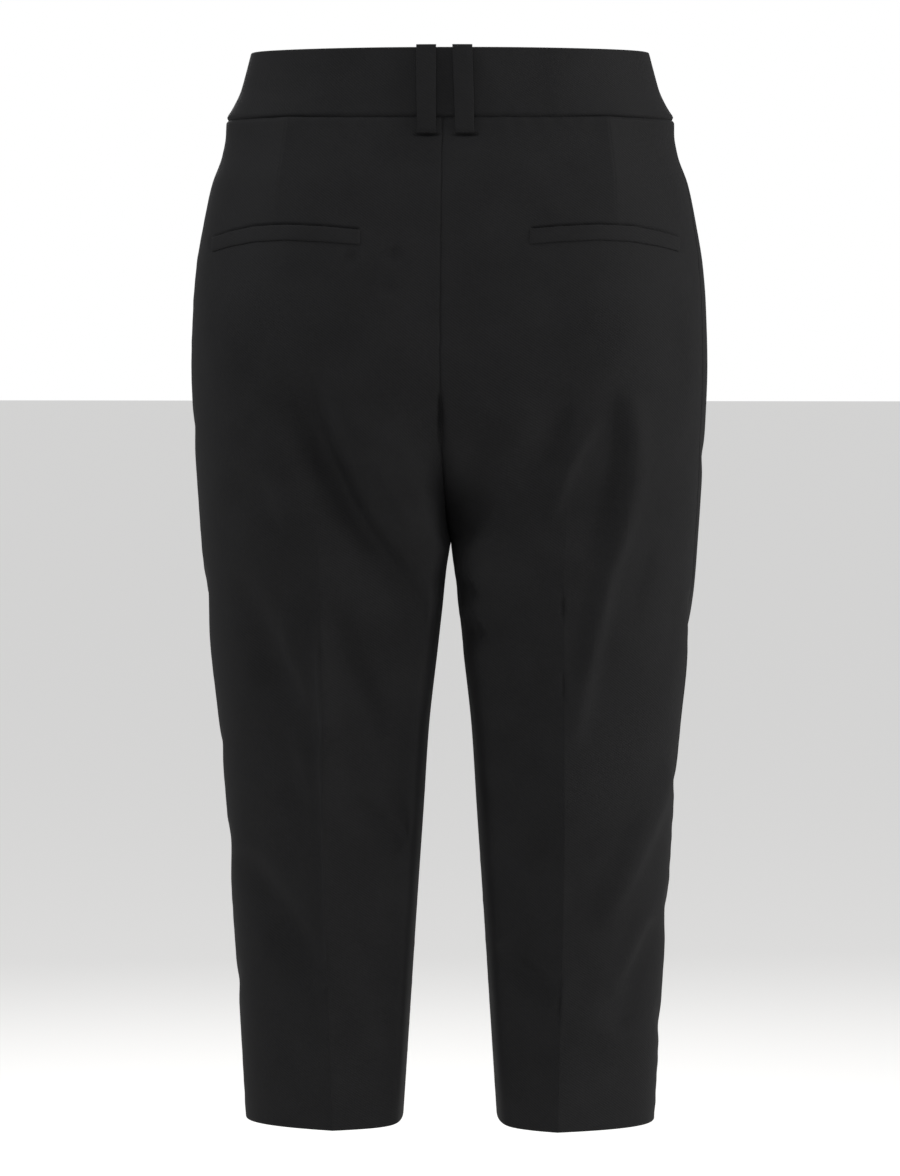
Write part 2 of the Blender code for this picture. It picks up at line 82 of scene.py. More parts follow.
# The half section at each level. Lean and press are in degrees: lean is how far the cloth has already
# turned towards the side at a crease, and press is how sharply the pressed crease stands out.
Section = namedtuple(
    "Section",
    "level side_x side_y inner_x crease_x back_y front_y "
    "lean_back lean_front press_back press_front seam_shift",
)
SECTIONS = [
    Section(0.0235, 0.1384, 0.000, 0.0000, 0.070, 0.0800, -0.0810, 21, 21, 0, 0, 0.02),
    Section(0.0070, 0.1425, 0.000, 0.0000, 0.072, 0.0810, -0.0825, 21, 21, 0, 0, 0.02),
    Section(-0.0040, 0.1457, 0.000, 0.0000, 0.074, 0.0820, -0.0840, 21, 21, 0, 1, 0.02),
    Section(-0.0150, 0.1511, 0.001, 0.0000, 0.076, 0.0835, -0.0865, 20, 20, 0, 2, 0.03),
    Section(-0.0235, 0.1558, 0.001, 0.0000, 0.078, 0.0850, -0.0885, 20, 20, 0, 3, 0.04),
    Section(-0.0330, 0.1560, 0.002, 0.0000, 0.079, 0.0870, -0.0900, 19, 19, 0, 3, 0.05),
    Section(-0.0475, 0.1584, 0.002, 0.0000, 0.081, 0.0905, -0.0925, 18, 18, 0, 4, 0.07),
    Section(-0.0685, 0.1658, 0.003, 0.0000, 0.084, 0.0975, -0.0960, 16, 16, 0, 4, 0.10),
    Section(-0.0965, 0.1716, 0.005, 0.0000, 0.086, 0.1070, -0.0990, 13, 15, 0, 5, 0.13),
    Section(-0.1245, 0.1762, 0.007, 0.0000, 0.088, 0.1145, -0.1000, 11, 14, 0, 5, 0.16),
    Section(-0.1520, 0.1784, 0.008, 0.0000, 0.089, 0.1195, -0.1000, 9, 13, 0, 5, 0.17),
    Section(-0.1940, 0.1796, 0.010, 0.0000, 0.089, 0.1235, -0.0990, 7, 11, 1, 6, 0.18),
    Section(-0.2360, 0.1781, 0.010, 0.0000, 0.087, 0.1225, -0.0970, 5, 7, 1, 7, 0.17),
    Section(-0.2920, 0.1748, 0.009, 0.0000, 0.085, 0.1150, -0.0935, 2, 3, 3, 9, 0.14),
    Section(-0.3170, 0.1731, 0.009, 0.0003, 0.084, 0.1120, -0.0925, 1, 1, 5, 10, 0.13),
    Section(-0.3360, 0.1718, 0.008, 0.0027, 0.083, 0.1080, -0.0910, 0, 0, 9, 12, 0.12),
    Section(-0.3900, 0.1675, 0.006, 0.0088, 0.083, 0.0990, -0.0860, 0, 0, 15, 14, 0.09),
    Section(-0.4460, 0.1614, 0.005, 0.0150, 0.083, 0.0910, -0.0800, 0, 0, 18, 16, 0.06),
    Section(-0.5025, 0.1567, 0.004, 0.0186, 0.083, 0.0845, -0.0750, 0, 0, 19, 17, 0.03),
    Section(-0.5725, 0.1527, 0.003, 0.0233, 0.082, 0.0780, -0.0700, 0, 0, 19, 17, 0.01),
    Section(-0.6425, 0.1482, 0.002, 0.0277, 0.080, 0.0720, -0.0650, 0, 0, 19, 17, 0.00),
    Section(-0.7225, 0.1438, 0.002, 0.0328, 0.078, 0.0660, -0.0600, 0, 0, 19, 17, 0.00),
]

# The rib's two ends: down the centre seam, under the seat to the fork, then down the inseam.
# Turn is how far the rib's end has swung, in degrees, from straight across (0) to along Y (90). Reach is
# its handle there, as a share of the straight line to the crease. Hug is how closely the rib keeps to its
# handles: 3 is a plain cubic, and a larger one turns the inner thigh's corner in less cloth.
Edge = namedtuple("Edge", "level y z turn reach hug")
BACK_SEAM = [
    Edge(0.0235, 0.0930, 0.0235, 0, 0.39, 3.0),
    Edge(-0.0235, 0.0980, -0.0235, 0, 0.39, 3.0),
    Edge(-0.0685, 0.1090, -0.0685, 0, 0.39, 3.0),
    Edge(-0.1100, 0.1180, -0.1100, 0, 0.39, 3.0),
    Edge(-0.1520, 0.1240, -0.1520, 0, 0.39, 3.0),
]
# The left inner thigh stands square behind and hides its own inner side; the right one slopes in.
BACK_EDGE = {
    "left": BACK_SEAM + [
        Edge(-0.1850, 0.1260, -0.1890, 2, 0.39, 3.0),
        Edge(-0.2190, 0.1190, -0.2290, 14, 0.30, 3.2),
        Edge(-0.2450, 0.1000, -0.2600, 66, 0.27, 6.0),
        Edge(-0.2700, 0.0660, -0.2880, 90, 0.47, 10.0),
        Edge(-0.2940, 0.0280, -0.3070, 93, 0.66, 12.0),
        Edge(FORK, -0.0050, FORK, 94, 0.74, 12.0),
        Edge(-0.3360, -0.0048, -0.3360, 93, 0.74, 12.0),
        Edge(-0.3620, -0.0045, -0.3620, 94, 0.73, 12.0),
        Edge(-0.4460, -0.0035, -0.4460, 94, 0.70, 11.0),
        Edge(HEM, 0.0000, INSEAM_FOOT, 94, 0.66, 9.0),
    ],
    "right": BACK_SEAM + [
        Edge(-0.1850, 0.1260, -0.1890, 6, 0.39, 3.0),
        Edge(-0.2190, 0.1190, -0.2290, 28, 0.36, 3.0),
        Edge(-0.2450, 0.1000, -0.2600, 55, 0.32, 3.0),
        Edge(-0.2700, 0.0660, -0.2880, 69, 0.42, 3.4),
        Edge(-0.2940, 0.0280, -0.3070, 80, 0.57, 4.4),
        Edge(FORK, -0.0050, FORK, 86, 0.67, 5.6),
        Edge(-0.3360, -0.0048, -0.3360, 88, 0.66, 5.8),
        Edge(-0.3620, -0.0045, -0.3620, 88, 0.64, 7.0),
        Edge(-0.4460, -0.0035, -0.4460, 88, 0.62, 7.0),
        Edge(HEM, 0.0000, INSEAM_FOOT, 88, 0.58, 6.0),
    ],
}
FRONT_EDGE = [
    Edge(0.0235, -0.0945, 0.0235, 0, 0.39, 3.0),
    Edge(-0.0235, -0.1010, -0.0235, 0, 0.39, 3.0),
    Edge(-0.0965, -0.1085, -0.0965, 0, 0.39, 3.0),
    Edge(-0.1500, -0.1085, -0.1500, 0, 0.39, 3.0),
    Edge(-0.2150, -0.1020, -0.2250, 8, 0.38, 3.0),
    Edge(-0.2430, -0.0890, -0.2590, 24, 0.40, 3.0),
    Edge(-0.2670, -0.0660, -0.2860, 44, 0.44, 3.0),
    Edge(-0.2940, -0.0330, -0.3070, 60, 0.52, 3.0),
    Edge(FORK, -0.0050, FORK, 72, 0.58, 3.0),
    Edge(-0.3360, -0.0048, -0.3360, 84, 0.58, 3.0),
    Edge(-0.3620, -0.0045, -0.3620, 88, 0.56, 3.0),
    Edge(-0.4460, -0.0035, -0.4460, 88, 0.46, 3.0),
    Edge(HEM, 0.0000, INSEAM_FOOT, 88, 0.42, 3.0),
]

# Creases in the cloth, as soft troughs (depth above zero) and ridges (below zero). Each runs from its top
# past its middle to its end. Across is x on the back and the front, and y on the side.
Fold = namedtuple(
    "Fold",
    "top_across top_z mid_across mid_z end_across end_z outer_width inner_width depth",
)
FOLDS = {
    "left": {
        "back": [
            # Main creases, which the rigid frame has too, softer or a little apart in places
            Fold(0.090, -0.198, 0.062, -0.284, -0.006, -0.384, 0.015, 0.008, 0.0088),
            Fold(0.107, -0.200, 0.084, -0.247, 0.056, -0.298, 0.018, 0.012, 0.004),
            Fold(0.074, -0.195, 0.046, -0.262, 0.008, -0.335, 0.012, 0.016, -0.0035),
            Fold(0.084, -0.352, 0.067, -0.390, 0.042, -0.448, 0.009, 0.012, 0.0042),
            Fold(0.140, -0.334, 0.115, -0.404, 0.078, -0.456, 0.010, 0.014, 0.0068),
            Fold(0.144, -0.528, 0.115, -0.578, 0.083, -0.622, 0.009, 0.013, 0.0078),
            Fold(0.076, -0.478, 0.052, -0.503, 0.028, -0.522, 0.013, 0.010, 0.0042),
            # Fine creases
            Fold(0.054, -0.252, 0.040, -0.283, 0.020, -0.312, 0.007, 0.005, 0.0018),
            Fold(0.126, -0.266, 0.119, -0.288, 0.108, -0.314, 0.007, 0.005, 0.0016),
            Fold(0.112, -0.368, 0.103, -0.400, 0.092, -0.430, 0.007, 0.007, -0.002),
            Fold(0.060, -0.395, 0.051, -0.420, 0.042, -0.448, 0.007, 0.005, 0.0012),
            Fold(0.044, -0.482, 0.030, -0.505, 0.008, -0.545, 0.005, 0.008, 0.003),
            Fold(0.077, -0.574, 0.061, -0.589, 0.040, -0.599, 0.006, 0.005, 0.0016),
            Fold(0.118, -0.430, 0.104, -0.476, 0.092, -0.526, 0.010, 0.008, 0.0024),
            Fold(0.052, -0.635, 0.040, -0.662, 0.034, -0.700, 0.008, 0.008, 0.0012),
            Fold(0.120, -0.640, 0.108, -0.668, 0.102, -0.705, 0.009, 0.008, 0.001),
            # The cleft of the centre back seam, and the ridge and the groove beside the pressed crease
            Fold(0.000, -0.210, 0.000, -0.227, 0.000, -0.246, 0.0015, 0.0015, 0.0024),
            Fold(0.0826, -0.338, 0.0828, -0.420, 0.0825, -0.520, 0.004, 0.011, -0.0034),
            Fold(0.085, -0.438, 0.0852, -0.520, 0.0842, -0.606, 0.006, 0.0014, 0.0013),
            # The dent under the belt loop's lower end
            Fold(0.001, -0.0358, 0.0105, -0.036, 0.020, -0.0358, 0.0013, 0.001, 0.0022),
            # The dents under the welt's inner end, and the nick beside its outer end
            Fold(0.065, -0.118, 0.060, -0.1195, 0.055, -0.119, 0.005, 0.005, 0.0012),
            Fold(0.034, -0.112, 0.032, -0.118, 0.033, -0.124, 0.006, 0.006, 0.0013),
            Fold(0.038, -0.134, 0.035, -0.140, 0.035, -0.146, 0.006, 0.006, 0.0011),
            Fold(0.1612, -0.103, 0.1613, -0.1095, 0.161, -0.1165, 0.0011, 0.0011, 0.0016),
        ],
        "front": [
            # Main creases, which the rigid frame has too, softer or a little apart in places
            Fold(0.034, -0.262, 0.070, -0.284, 0.118, -0.292, 0.014, 0.012, 0.004),
            Fold(0.026, -0.330, 0.048, -0.372, 0.074, -0.430, 0.012, 0.014, 0.003),
            Fold(0.096, -0.520, 0.118, -0.540, 0.140, -0.545, 0.012, 0.013, 0.0028),
            # Fine creases
            Fold(0.022, -0.236, 0.046, -0.252, 0.082, -0.256, 0.007, 0.0055, 0.0018),
            Fold(0.020, -0.298, 0.034, -0.322, 0.046, -0.352, 0.0055, 0.007, 0.0014),
            Fold(0.120, -0.330, 0.112, -0.370, 0.100, -0.404, 0.008, 0.008, 0.0014),
            Fold(0.052, -0.476, 0.066, -0.498, 0.088, -0.508, 0.006, 0.006, 0.0014),
            Fold(0.060, -0.560, 0.082, -0.574, 0.110, -0.578, 0.007, 0.007, 0.0012),
            Fold(0.118, -0.620, 0.104, -0.650, 0.098, -0.690, 0.008, 0.008, 0.001),
        ],
        "side": [
            # Main creases, which the rigid frame has too, softer or a little apart in places
            Fold(0.036, -0.330, 0.000, -0.372, -0.046, -0.400, 0.013, 0.013, 0.0024),
            Fold(0.026, -0.512, -0.010, -0.545, -0.044, -0.560, 0.012, 0.012, 0.0022),
            # Fine creases
            Fold(0.040, -0.226, 0.010, -0.244, -0.030, -0.250, 0.009, 0.009, 0.001),
            Fold(0.030, -0.446, 0.000, -0.466, -0.030, -0.474, 0.008, 0.008, 0.0012),
            Fold(0.028, -0.610, 0.002, -0.630, -0.026, -0.636, 0.008, 0.008, 0.001),
        ],
    },
    "right": {
        "back": [
            # Main creases, which the rigid frame has too, softer or a little apart in places
            Fold(-0.126, -0.212, -0.131, -0.262, -0.116, -0.330, 0.009, 0.009, -0.0042),
            Fold(-0.129, -0.285, -0.109, -0.350, -0.087, -0.460, 0.007, 0.008, -0.0044),
            Fold(-0.113, -0.205, -0.115, -0.252, -0.094, -0.325, 0.009, 0.030, 0.005),
            Fold(-0.086, -0.208, -0.073, -0.244, -0.052, -0.275, 0.010, 0.016, 0.0042),
            Fold(-0.036, -0.228, -0.019, -0.262, -0.006, -0.305, 0.018, 0.014, 0.005),
            Fold(0.012, -0.336, -0.004, -0.344, -0.020, -0.340, 0.009, 0.009, 0.0095),
            Fold(0.014, -0.386, -0.004, -0.380, -0.024, -0.368, 0.012, 0.010, 0.0105),
            Fold(-0.160, -0.468, -0.138, -0.515, -0.109, -0.580, 0.008, 0.010, -0.0056),
            Fold(-0.146, -0.577, -0.133, -0.618, -0.117, -0.656, 0.009, 0.014, 0.0056),
            Fold(-0.036, -0.592, -0.055, -0.611, -0.078, -0.627, 0.010, 0.012, 0.0052),
            # Fine creases
            Fold(-0.110, -0.226, -0.087, -0.263, -0.072, -0.302, 0.005, 0.006, -0.0022),
            Fold(-0.143, -0.308, -0.137, -0.335, -0.129, -0.364, 0.0055, 0.008, 0.0018),
            Fold(-0.159, -0.350, -0.155, -0.382, -0.147, -0.414, 0.006, 0.007, 0.0014),
            Fold(-0.144, -0.556, -0.132, -0.590, -0.116, -0.633, 0.006, 0.007, -0.003),
            Fold(-0.036, -0.584, -0.052, -0.600, -0.074, -0.612, 0.005, 0.0045, -0.0014),
            Fold(-0.026, -0.365, -0.040, -0.400, -0.058, -0.424, 0.007, 0.010, 0.0014),
            Fold(-0.030, -0.460, -0.048, -0.500, -0.066, -0.528, 0.007, 0.010, 0.0014),
            # The cleft of the centre back seam, and the kinks in the pressed crease
            Fold(0.000, -0.210, 0.000, -0.227, 0.000, -0.246, 0.0018, 0.0018, 0.0024),
            Fold(-0.0822, -0.346, -0.0824, -0.356, -0.0824, -0.366, 0.0012, 0.0014, 0.0016),
            Fold(-0.0826, -0.398, -0.0826, -0.411, -0.0826, -0.424, 0.0012, 0.0014, 0.0014),
            Fold(-0.080, -0.610, -0.0793, -0.630, -0.0786, -0.650, 0.0012, 0.0014, 0.0013),
            # The dent under the belt loop's lower end
            Fold(-0.006, -0.0358, -0.0152, -0.036, -0.0245, -0.0358, 0.0013, 0.001, 0.0022),
            # The nick beside the welt's outer end
            Fold(-0.1612, -0.103, -0.1613, -0.1095, -0.161, -0.1165, 0.0011, 0.0011, 0.0016),
        ],
        "front": [
            # Main creases, which the rigid frame has too, softer or a little apart in places
            Fold(-0.034, -0.250, -0.066, -0.270, -0.112, -0.276, 0.014, 0.012, 0.0042),
            Fold(-0.028, -0.322, -0.050, -0.356, -0.074, -0.402, 0.012, 0.014, 0.003),
            Fold(-0.094, -0.500, -0.116, -0.528, -0.138, -0.540, 0.012, 0.013, 0.0028),
            # Fine creases
            Fold(-0.020, -0.226, -0.044, -0.238, -0.076, -0.238, 0.007, 0.0055, 0.0018),
            Fold(-0.022, -0.286, -0.036, -0.312, -0.046, -0.340, 0.0055, 0.007, 0.0014),
            Fold(-0.122, -0.316, -0.112, -0.352, -0.098, -0.380, 0.008, 0.008, 0.0014),
            Fold(-0.050, -0.462, -0.068, -0.482, -0.090, -0.490, 0.006, 0.006, 0.0014),
            Fold(-0.056, -0.552, -0.080, -0.564, -0.106, -0.570, 0.007, 0.007, 0.0012),
            Fold(-0.116, -0.612, -0.106, -0.646, -0.098, -0.688, 0.008, 0.008, 0.001),
        ],
        "side": [
            # Main creases, which the rigid frame has too, softer or a little apart in places
            Fold(0.030, -0.345, -0.008, -0.392, -0.048, -0.425, 0.013, 0.013, 0.0024),
            Fold(0.022, -0.560, -0.014, -0.586, -0.046, -0.596, 0.012, 0.012, 0.002),
            # Fine creases
            Fold(0.040, -0.236, 0.006, -0.258, -0.034, -0.262, 0.009, 0.009, 0.001),
            Fold(0.032, -0.462, 0.002, -0.486, -0.030, -0.492, 0.008, 0.008, 0.0012),
            Fold(0.026, -0.640, 0.000, -0.656, -0.024, -0.660, 0.008, 0.008, 0.001),
        ],
    },
}
# Places along a fold's line, the power that fades its ends, and the least length to divide by
FOLD_SAMPLES = 48
FOLD_FADE = 0.7
TINY = 1e-9

# Single welt of each back pocket, from its inner to its outer end. Its edges droop towards the side.
Welt = namedtuple("Welt", "across upper_z lower_z")
WELT_INNER_END = {"left": Welt(0.0547, -0.1009, -0.1108), "right": Welt(0.0598, -0.1003, -0.1105)}
WELT_STATIONS = [
    Welt(0.080, -0.0985, -0.1088),
    Welt(0.106, -0.0972, -0.1075),
    Welt(0.128, -0.0982, -0.1085),
    Welt(0.146, -0.1015, -0.1115),
    Welt(0.160, -0.1055, -0.1150),
]
# The welt's section: share of the way down it, and heights in millimetres above the panel of its upper and
# its under side. It is sewn down at its inner end, where it starts this far along an S-curve of this length
# that leads up to its full height.
WELT_DOWN = np.array([0.010, 0.000, 0.010, 0.050, 0.110, 0.25, 0.50, 0.75, 0.90, 0.96, 0.99, 1.00])
WELT_UPPER_SIDE = np.array([0.55, 0.80, 1.10, 1.28, 1.32, 1.32, 1.30, 1.26, 1.14, 0.95, 0.70, 0.45])
WELT_UNDER_SIDE = np.array([0.25, 0.15, 0.10, 0.10, 0.10, 0.10, 0.10, 0.10, 0.10, 0.10, 0.12, 0.18])
WELT_END_START = 0.35
WELT_END_REACH = 0.003

# The groove above a welt, where the pocket opens
MOUTH_DEPTH = 0.0011
MOUTH_WIDTH = 0.0009
MOUTH_ABOVE_WELT = 0.0006
MOUTH_END_REACH = 0.002

# Dart of each back panel: how far its stitched line runs from the crease line, along the cloth. The cloth
# stands up in a ridge along it, which fades out down to its point, with a groove at the stitches.
Dart = namedtuple("Dart", "level from_crease")
DART_LINE = {
    "left": [
        Dart(BAND_FOOT, 0.0307),
        Dart(-0.0600, 0.0297),
        Dart(-0.0970, 0.0285),
        Dart(HEM, 0.0260),
    ],
    "right": [
        Dart(BAND_FOOT, 0.0353),
        Dart(-0.0600, 0.0345),
        Dart(-0.0970, 0.0335),
        Dart(HEM, 0.0260),
    ],
}
DART_POINT = -0.106
DART_FADE = 0.050
DART_RIDGE = 0.0042
DART_REACH = 0.021
DART_GROOVE = 0.00035
DART_GROOVE_WIDTH = 0.0006

# Belt loops: a pair beside the centre back seam and one over each front crease. Each one's places, at its
# top and its foot, show how it leans.
LOOP_ACROSS = {
    ("back", "left"): (0.0112, 0.0105),
    ("back", "right"): (0.0132, 0.0153),
    ("front", "left"): (0.0720, 0.0720),
    ("front", "right"): (0.0720, 0.0720),
}
LOOP_TOP = 0.0250
LOOP_FOOT = -0.0350
# Height of a strap's middle over the cloth at its two ends, how much further it stands off between them,
# and the power that rounds that curve
LOOP_ENDS_LIFT = 0.0011
LOOP_BULGE = 0.0026
LOOP_ROUNDNESS = 0.6
# The strap's thickness, how square its edges are, and how much narrower it is at its foot
LOOP_THICKNESS = 0.0016
LOOP_EDGE_ROUNDNESS = 0.35
LOOP_NARROWING = 0.05
# Each end is pressed to this share of the thickness, over this length
LOOP_PRESSED_SHARE = 0.35
LOOP_PRESSED_END = 0.0009
# Places along a strap, and round each half of its section
LOOP_STEPS = 40
LOOP_EDGE_STEPS = 14

# Distances from a seam or a crease at which its columns or rows stand
NEAR_LINE = np.array([0.0, 0.0005, 0.0011, 0.0020, 0.0035, 0.0060, 0.0097, 0.0103])
# Places at which a rib's length is measured
ARC_SAMPLES = 241
# Angles of the rows round a folded edge
HALF_TURN = np.linspace(0, np.pi, 8)[1:-1]
# Cells shared out evenly over each stretch of a panel's width, the waistband's length and its height
FRONT_CELLS = [28, 40]
BACK_CELLS = [76, 6, 23]
BAND_CELLS = 64
BAND_ROWS = 14
# Heights between which a panel's rows stand close, for the back pockets
POCKET_ROWS_TOP = -0.0920
POCKET_ROWS_FOOT = -0.1200
# Rows round the lower end of a belt loop, as distances below it
BELOW_LOOP = np.array([-0.0004, 0.0003, 0.0010, 0.0016, 0.0023, 0.0032])
# A seam's dip, and how much deeper and wider the waist seam's is
SEAM_WIDTH = 0.0009
WAIST_SEAM_WIDTH = 0.0012
WAIST_SEAM_SHARE = 1.8
# How far the waistband bulges halfway up, and the soft wave along it, whose length is over 2 pi
BAND_BULGE = 0.0003
BAND_WAVE = 0.00012
BAND_WAVE_LENGTH = 0.017
# A seam's puckers: lengths of their two waves and of their swell, over 2 pi, and how far they reach
SHORT_PUCKER = 0.0023
LONG_PUCKER = 0.0041
PUCKER_SWELL = 0.031
PUCKER_REACH = 0.0075
# How far the hem's fold bulges below its rows, and the thickness that a turning and a hem add
HEM_FOLD = 0.0014
TURNING_SHARE = 0.8
HEM_SHARE = 1.1
# How far each half's edges stand off the centre line, so that two pieces never share a face
SEAM_CLEAR = 0.00001
SHARP_ANGLE = math.radians(38)


def linear(hex_colour):
    """Linear red, green and blue of an sRGB hex colour."""
    parts = [int(hex_colour[k : k + 2], 16) / 255 for k in (1, 3, 5)]
    return tuple(p / 12.92 if p <= 0.04045 else ((p + 0.055) / 1.055) ** 2.4 for p in parts)


class CapriSizes(bpy.types.PropertyGroup):
    cloth: FloatProperty(
        name="Cloth",
        description="Thickness of one layer of suiting",
        default=0.0010, min=0.0005, max=0.002, subtype="DISTANCE", unit="LENGTH",
    )
    band: FloatProperty(
        name="Waistband",
        description="Thickness of the waistband, two layers and their interlining",
        default=0.0022, min=0.001, max=0.003, subtype="DISTANCE", unit="LENGTH",
    )
    allowance: FloatProperty(
        name="Seam allowance",
        description="Width of the turnings pressed open inside each seam",
        default=0.0100, min=0.006, max=0.015, subtype="DISTANCE", unit="LENGTH",
    )
    hem_depth: FloatProperty(
        name="Hem",
        description="Depth of the cloth turned up inside each hem",
        default=0.0350, min=0.02, max=0.05, subtype="DISTANCE", unit="LENGTH",
    )
    seam_depth: FloatProperty(
        name="Seam depth",
        description="How far the cloth dips into a seam",
        default=0.0008, min=0.0, max=0.0015, subtype="DISTANCE", unit="LENGTH",
    )
    pucker: FloatProperty(
        name="Pucker",
        description="Height of the small waves along a seam",
        default=0.00016, min=0.0, max=0.0006, subtype="DISTANCE", unit="LENGTH",
    )
    loop_width: FloatProperty(
        name="Belt loop",
        description="Width of a belt loop",
        default=0.0135, min=0.008, max=0.02, subtype="DISTANCE", unit="LENGTH",
    )
    creases: FloatProperty(
        name="Creases",
        description="Depth of the creases, as a share of what the tables say",
        default=1.3, min=0.0, max=1.5, subtype="FACTOR",
    )


class CapriColours(bpy.types.PropertyGroup):
    suiting: FloatVectorProperty(
        name="Suiting",
        description="Colour of the suiting",
        default=linear("#1e1e1f"), min=0, max=1, size=3, subtype="COLOR",
    )
    suiting_light: FloatVectorProperty(
        name="Raised threads",
        description="Colour of the threads that lie on top of the weave",
        default=linear("#282829"), min=0, max=1, size=3, subtype="COLOR",
    )
    floor: FloatVectorProperty(
        name="Floor",
        description="Colour of the pale floor",
        default=linear("#f4f3f1"), min=0, max=1, size=3, subtype="COLOR",
    )


# --- The form of the garment ---------------------------------------------------------------------------


def slopes_of(levels, values):
    """Slopes of a smooth curve through the table that never swings past its values."""
    steps = np.diff(values) / np.diff(levels)
    slopes = np.zeros(len(values))
    slopes[0], slopes[-1] = steps[0], steps[-1]
    before, after = steps[:-1], steps[1:]
    same_way = before * after > 0
    slopes[1:-1][same_way] = (2 * before * after)[same_way] / (before + after)[same_way]
    return slopes


def read_column(table, column, level):
    """The named column of a table at any level: between two rows, the cubic with the rows' slopes."""
    rows = sorted(table, key=lambda row: row.level)
    levels = np.array([row.level for row in rows])
    values = np.array([getattr(row, column) for row in rows], float)
    slopes = slopes_of(levels, values)
    k = np.clip(np.searchsorted(levels, level) - 1, 0, len(levels) - 2)
    width = levels[k + 1] - levels[k]
    t = (level - levels[k]) / width
    start = (1 + 2 * t) * (1 - t) ** 2 * values[k] + t * (1 - t) ** 2 * width * slopes[k]
    end = t * t * (3 - 2 * t) * values[k + 1] + t * t * (t - 1) * width * slopes[k + 1]
    return start + end


def heading(degrees):
    """Level direction at this angle from +X, as points along the last axis."""
    angle = np.radians(degrees)
    return np.stack([np.cos(angle), np.sin(angle), np.zeros_like(angle)], axis=-1)


def rib_within(half, level, girth):
    """Points of the left half section for girths of 0 to 4: four cubic stretches between five knots."""

    def column(name):
        return read_column(SECTIONS, name, level)

    def edge(table):
        inner = np.where(level > FORK, 0.0, column("inner_x"))
        return np.stack([inner, read_column(table, "y", level), read_column(table, "z", level)], axis=-1)

    knots = np.stack([
        edge(BACK_EDGE[half]),
        np.stack([column("crease_x"), column("back_y"), level], axis=-1),
        np.stack([column("side_x"), column("side_y"), level], axis=-1),
        np.stack([column("crease_x"), column("front_y"), level], axis=-1),
        edge(FRONT_EDGE),
    ])
    lean_back, press_back = column("lean_back"), column("press_back")
    lean_front, press_front = column("lean_front"), column("press_front")
    forward = np.full_like(level, -90.0)
    leaving = np.stack([
        heading(read_column(BACK_EDGE[half], "turn", level)),
        heading(-press_back - lean_back),
        heading(forward),
        heading(180 + lean_front - press_front),
    ])
    arriving = np.stack([
        heading(press_back - lean_back),
        heading(forward),
        heading(180 + lean_front + press_front),
        heading(180 - read_column(FRONT_EDGE, "turn", level)),
    ])
    stretch = np.clip(np.floor(girth), 0, 3).astype(int)[np.newaxis, ..., np.newaxis]
    t = girth[..., np.newaxis] - stretch[0]
    start = np.take_along_axis(knots, stretch, axis=0)[0]
    end = np.take_along_axis(knots, stretch + 1, axis=0)[0]
    span = np.linalg.norm(end - start, axis=-1, keepdims=True)
    is_first, is_last = stretch[0] == 0, stretch[0] == 3

    def at_ends(name, plain):
        tables = (BACK_EDGE[half], FRONT_EDGE)
        back, front = (read_column(table, name, level)[..., np.newaxis] for table in tables)
        return np.where(is_first, back, plain), np.where(is_last, front, plain)

    back_reach, front_reach = at_ends("reach", HANDLE)
    hug = np.maximum(*at_ends("hug", PLAIN_CUBIC))
    first = start + span * back_reach * np.take_along_axis(leaving, stretch, axis=0)[0]
    second = end - span * front_reach * np.take_along_axis(arriving, stretch, axis=0)[0]
    near_start, near_end = (1 - t) ** hug, t**hug
    between = (1 - near_start - near_end) * ((1 - t) * first + t * second)
    return near_start * start + between + near_end * end


def rib(half, level, girth):
    """The half section carried past its ends: over the centre line above the fork, round the leg below."""
    on_leg = level <= FORK
    before, after = girth < 0, girth > 4
    round_the_leg = girth + 4 * before - 4 * after
    over_the_centre = np.where(before, -girth, np.where(after, 8 - girth, girth))
    points = rib_within(half, level, np.where(on_leg, round_the_leg, over_the_centre))
    points[..., 0] *= np.where((before | after) & ~on_leg, -1, 1)
    return points


def outward(half, level, girth):
    """Unit normals of the ribs at (level, girth): the cross product of the two slopes."""
    along = rib(half, level + LEVEL_STEP, girth) - rib(half, level - LEVEL_STEP, girth)
    across = rib(half, level, girth + GIRTH_STEP) - rib(half, level, girth - GIRTH_STEP)
    normal = np.cross(along, across)
    return normal / np.linalg.norm(normal, axis=-1, keepdims=True)


def girth_at(half, level, across, front):
    """The girth at which a rib lies this far from the centre line, found by halving the range."""
    low, high = np.zeros(np.shape(across)), np.full(np.shape(across), 2.0)
    for _ in range(HALVINGS):
        middle = (low + high) / 2
        inside = rib(half, level, 4 - middle if front else middle)[..., 0] < across
        low, high = np.where(inside, middle, low), np.where(inside, high, middle)
    return 4 - low if front else low


def side_seam(half, level):
    """Girth of the side seam, which lies a little behind the side, most so on the wearer's right."""
    return 2 - SEAM_SHARE[half] * read_column(SECTIONS, "seam_shift", level)


def fold_path(fold):
    """Places along a fold's line, a parabola through its middle point, and the share run at each."""
    share = np.linspace(0, 1, FOLD_SAMPLES)[:, np.newaxis]
    top = np.array([fold.top_across, fold.top_z])
    middle = np.array([fold.mid_across, fold.mid_z])
    end = np.array([fold.end_across, fold.end_z])
    handle = 2 * middle - (top + end) / 2
    return (1 - share) ** 2 * top + 2 * share * (1 - share) * handle + share**2 * end, share[:, 0]


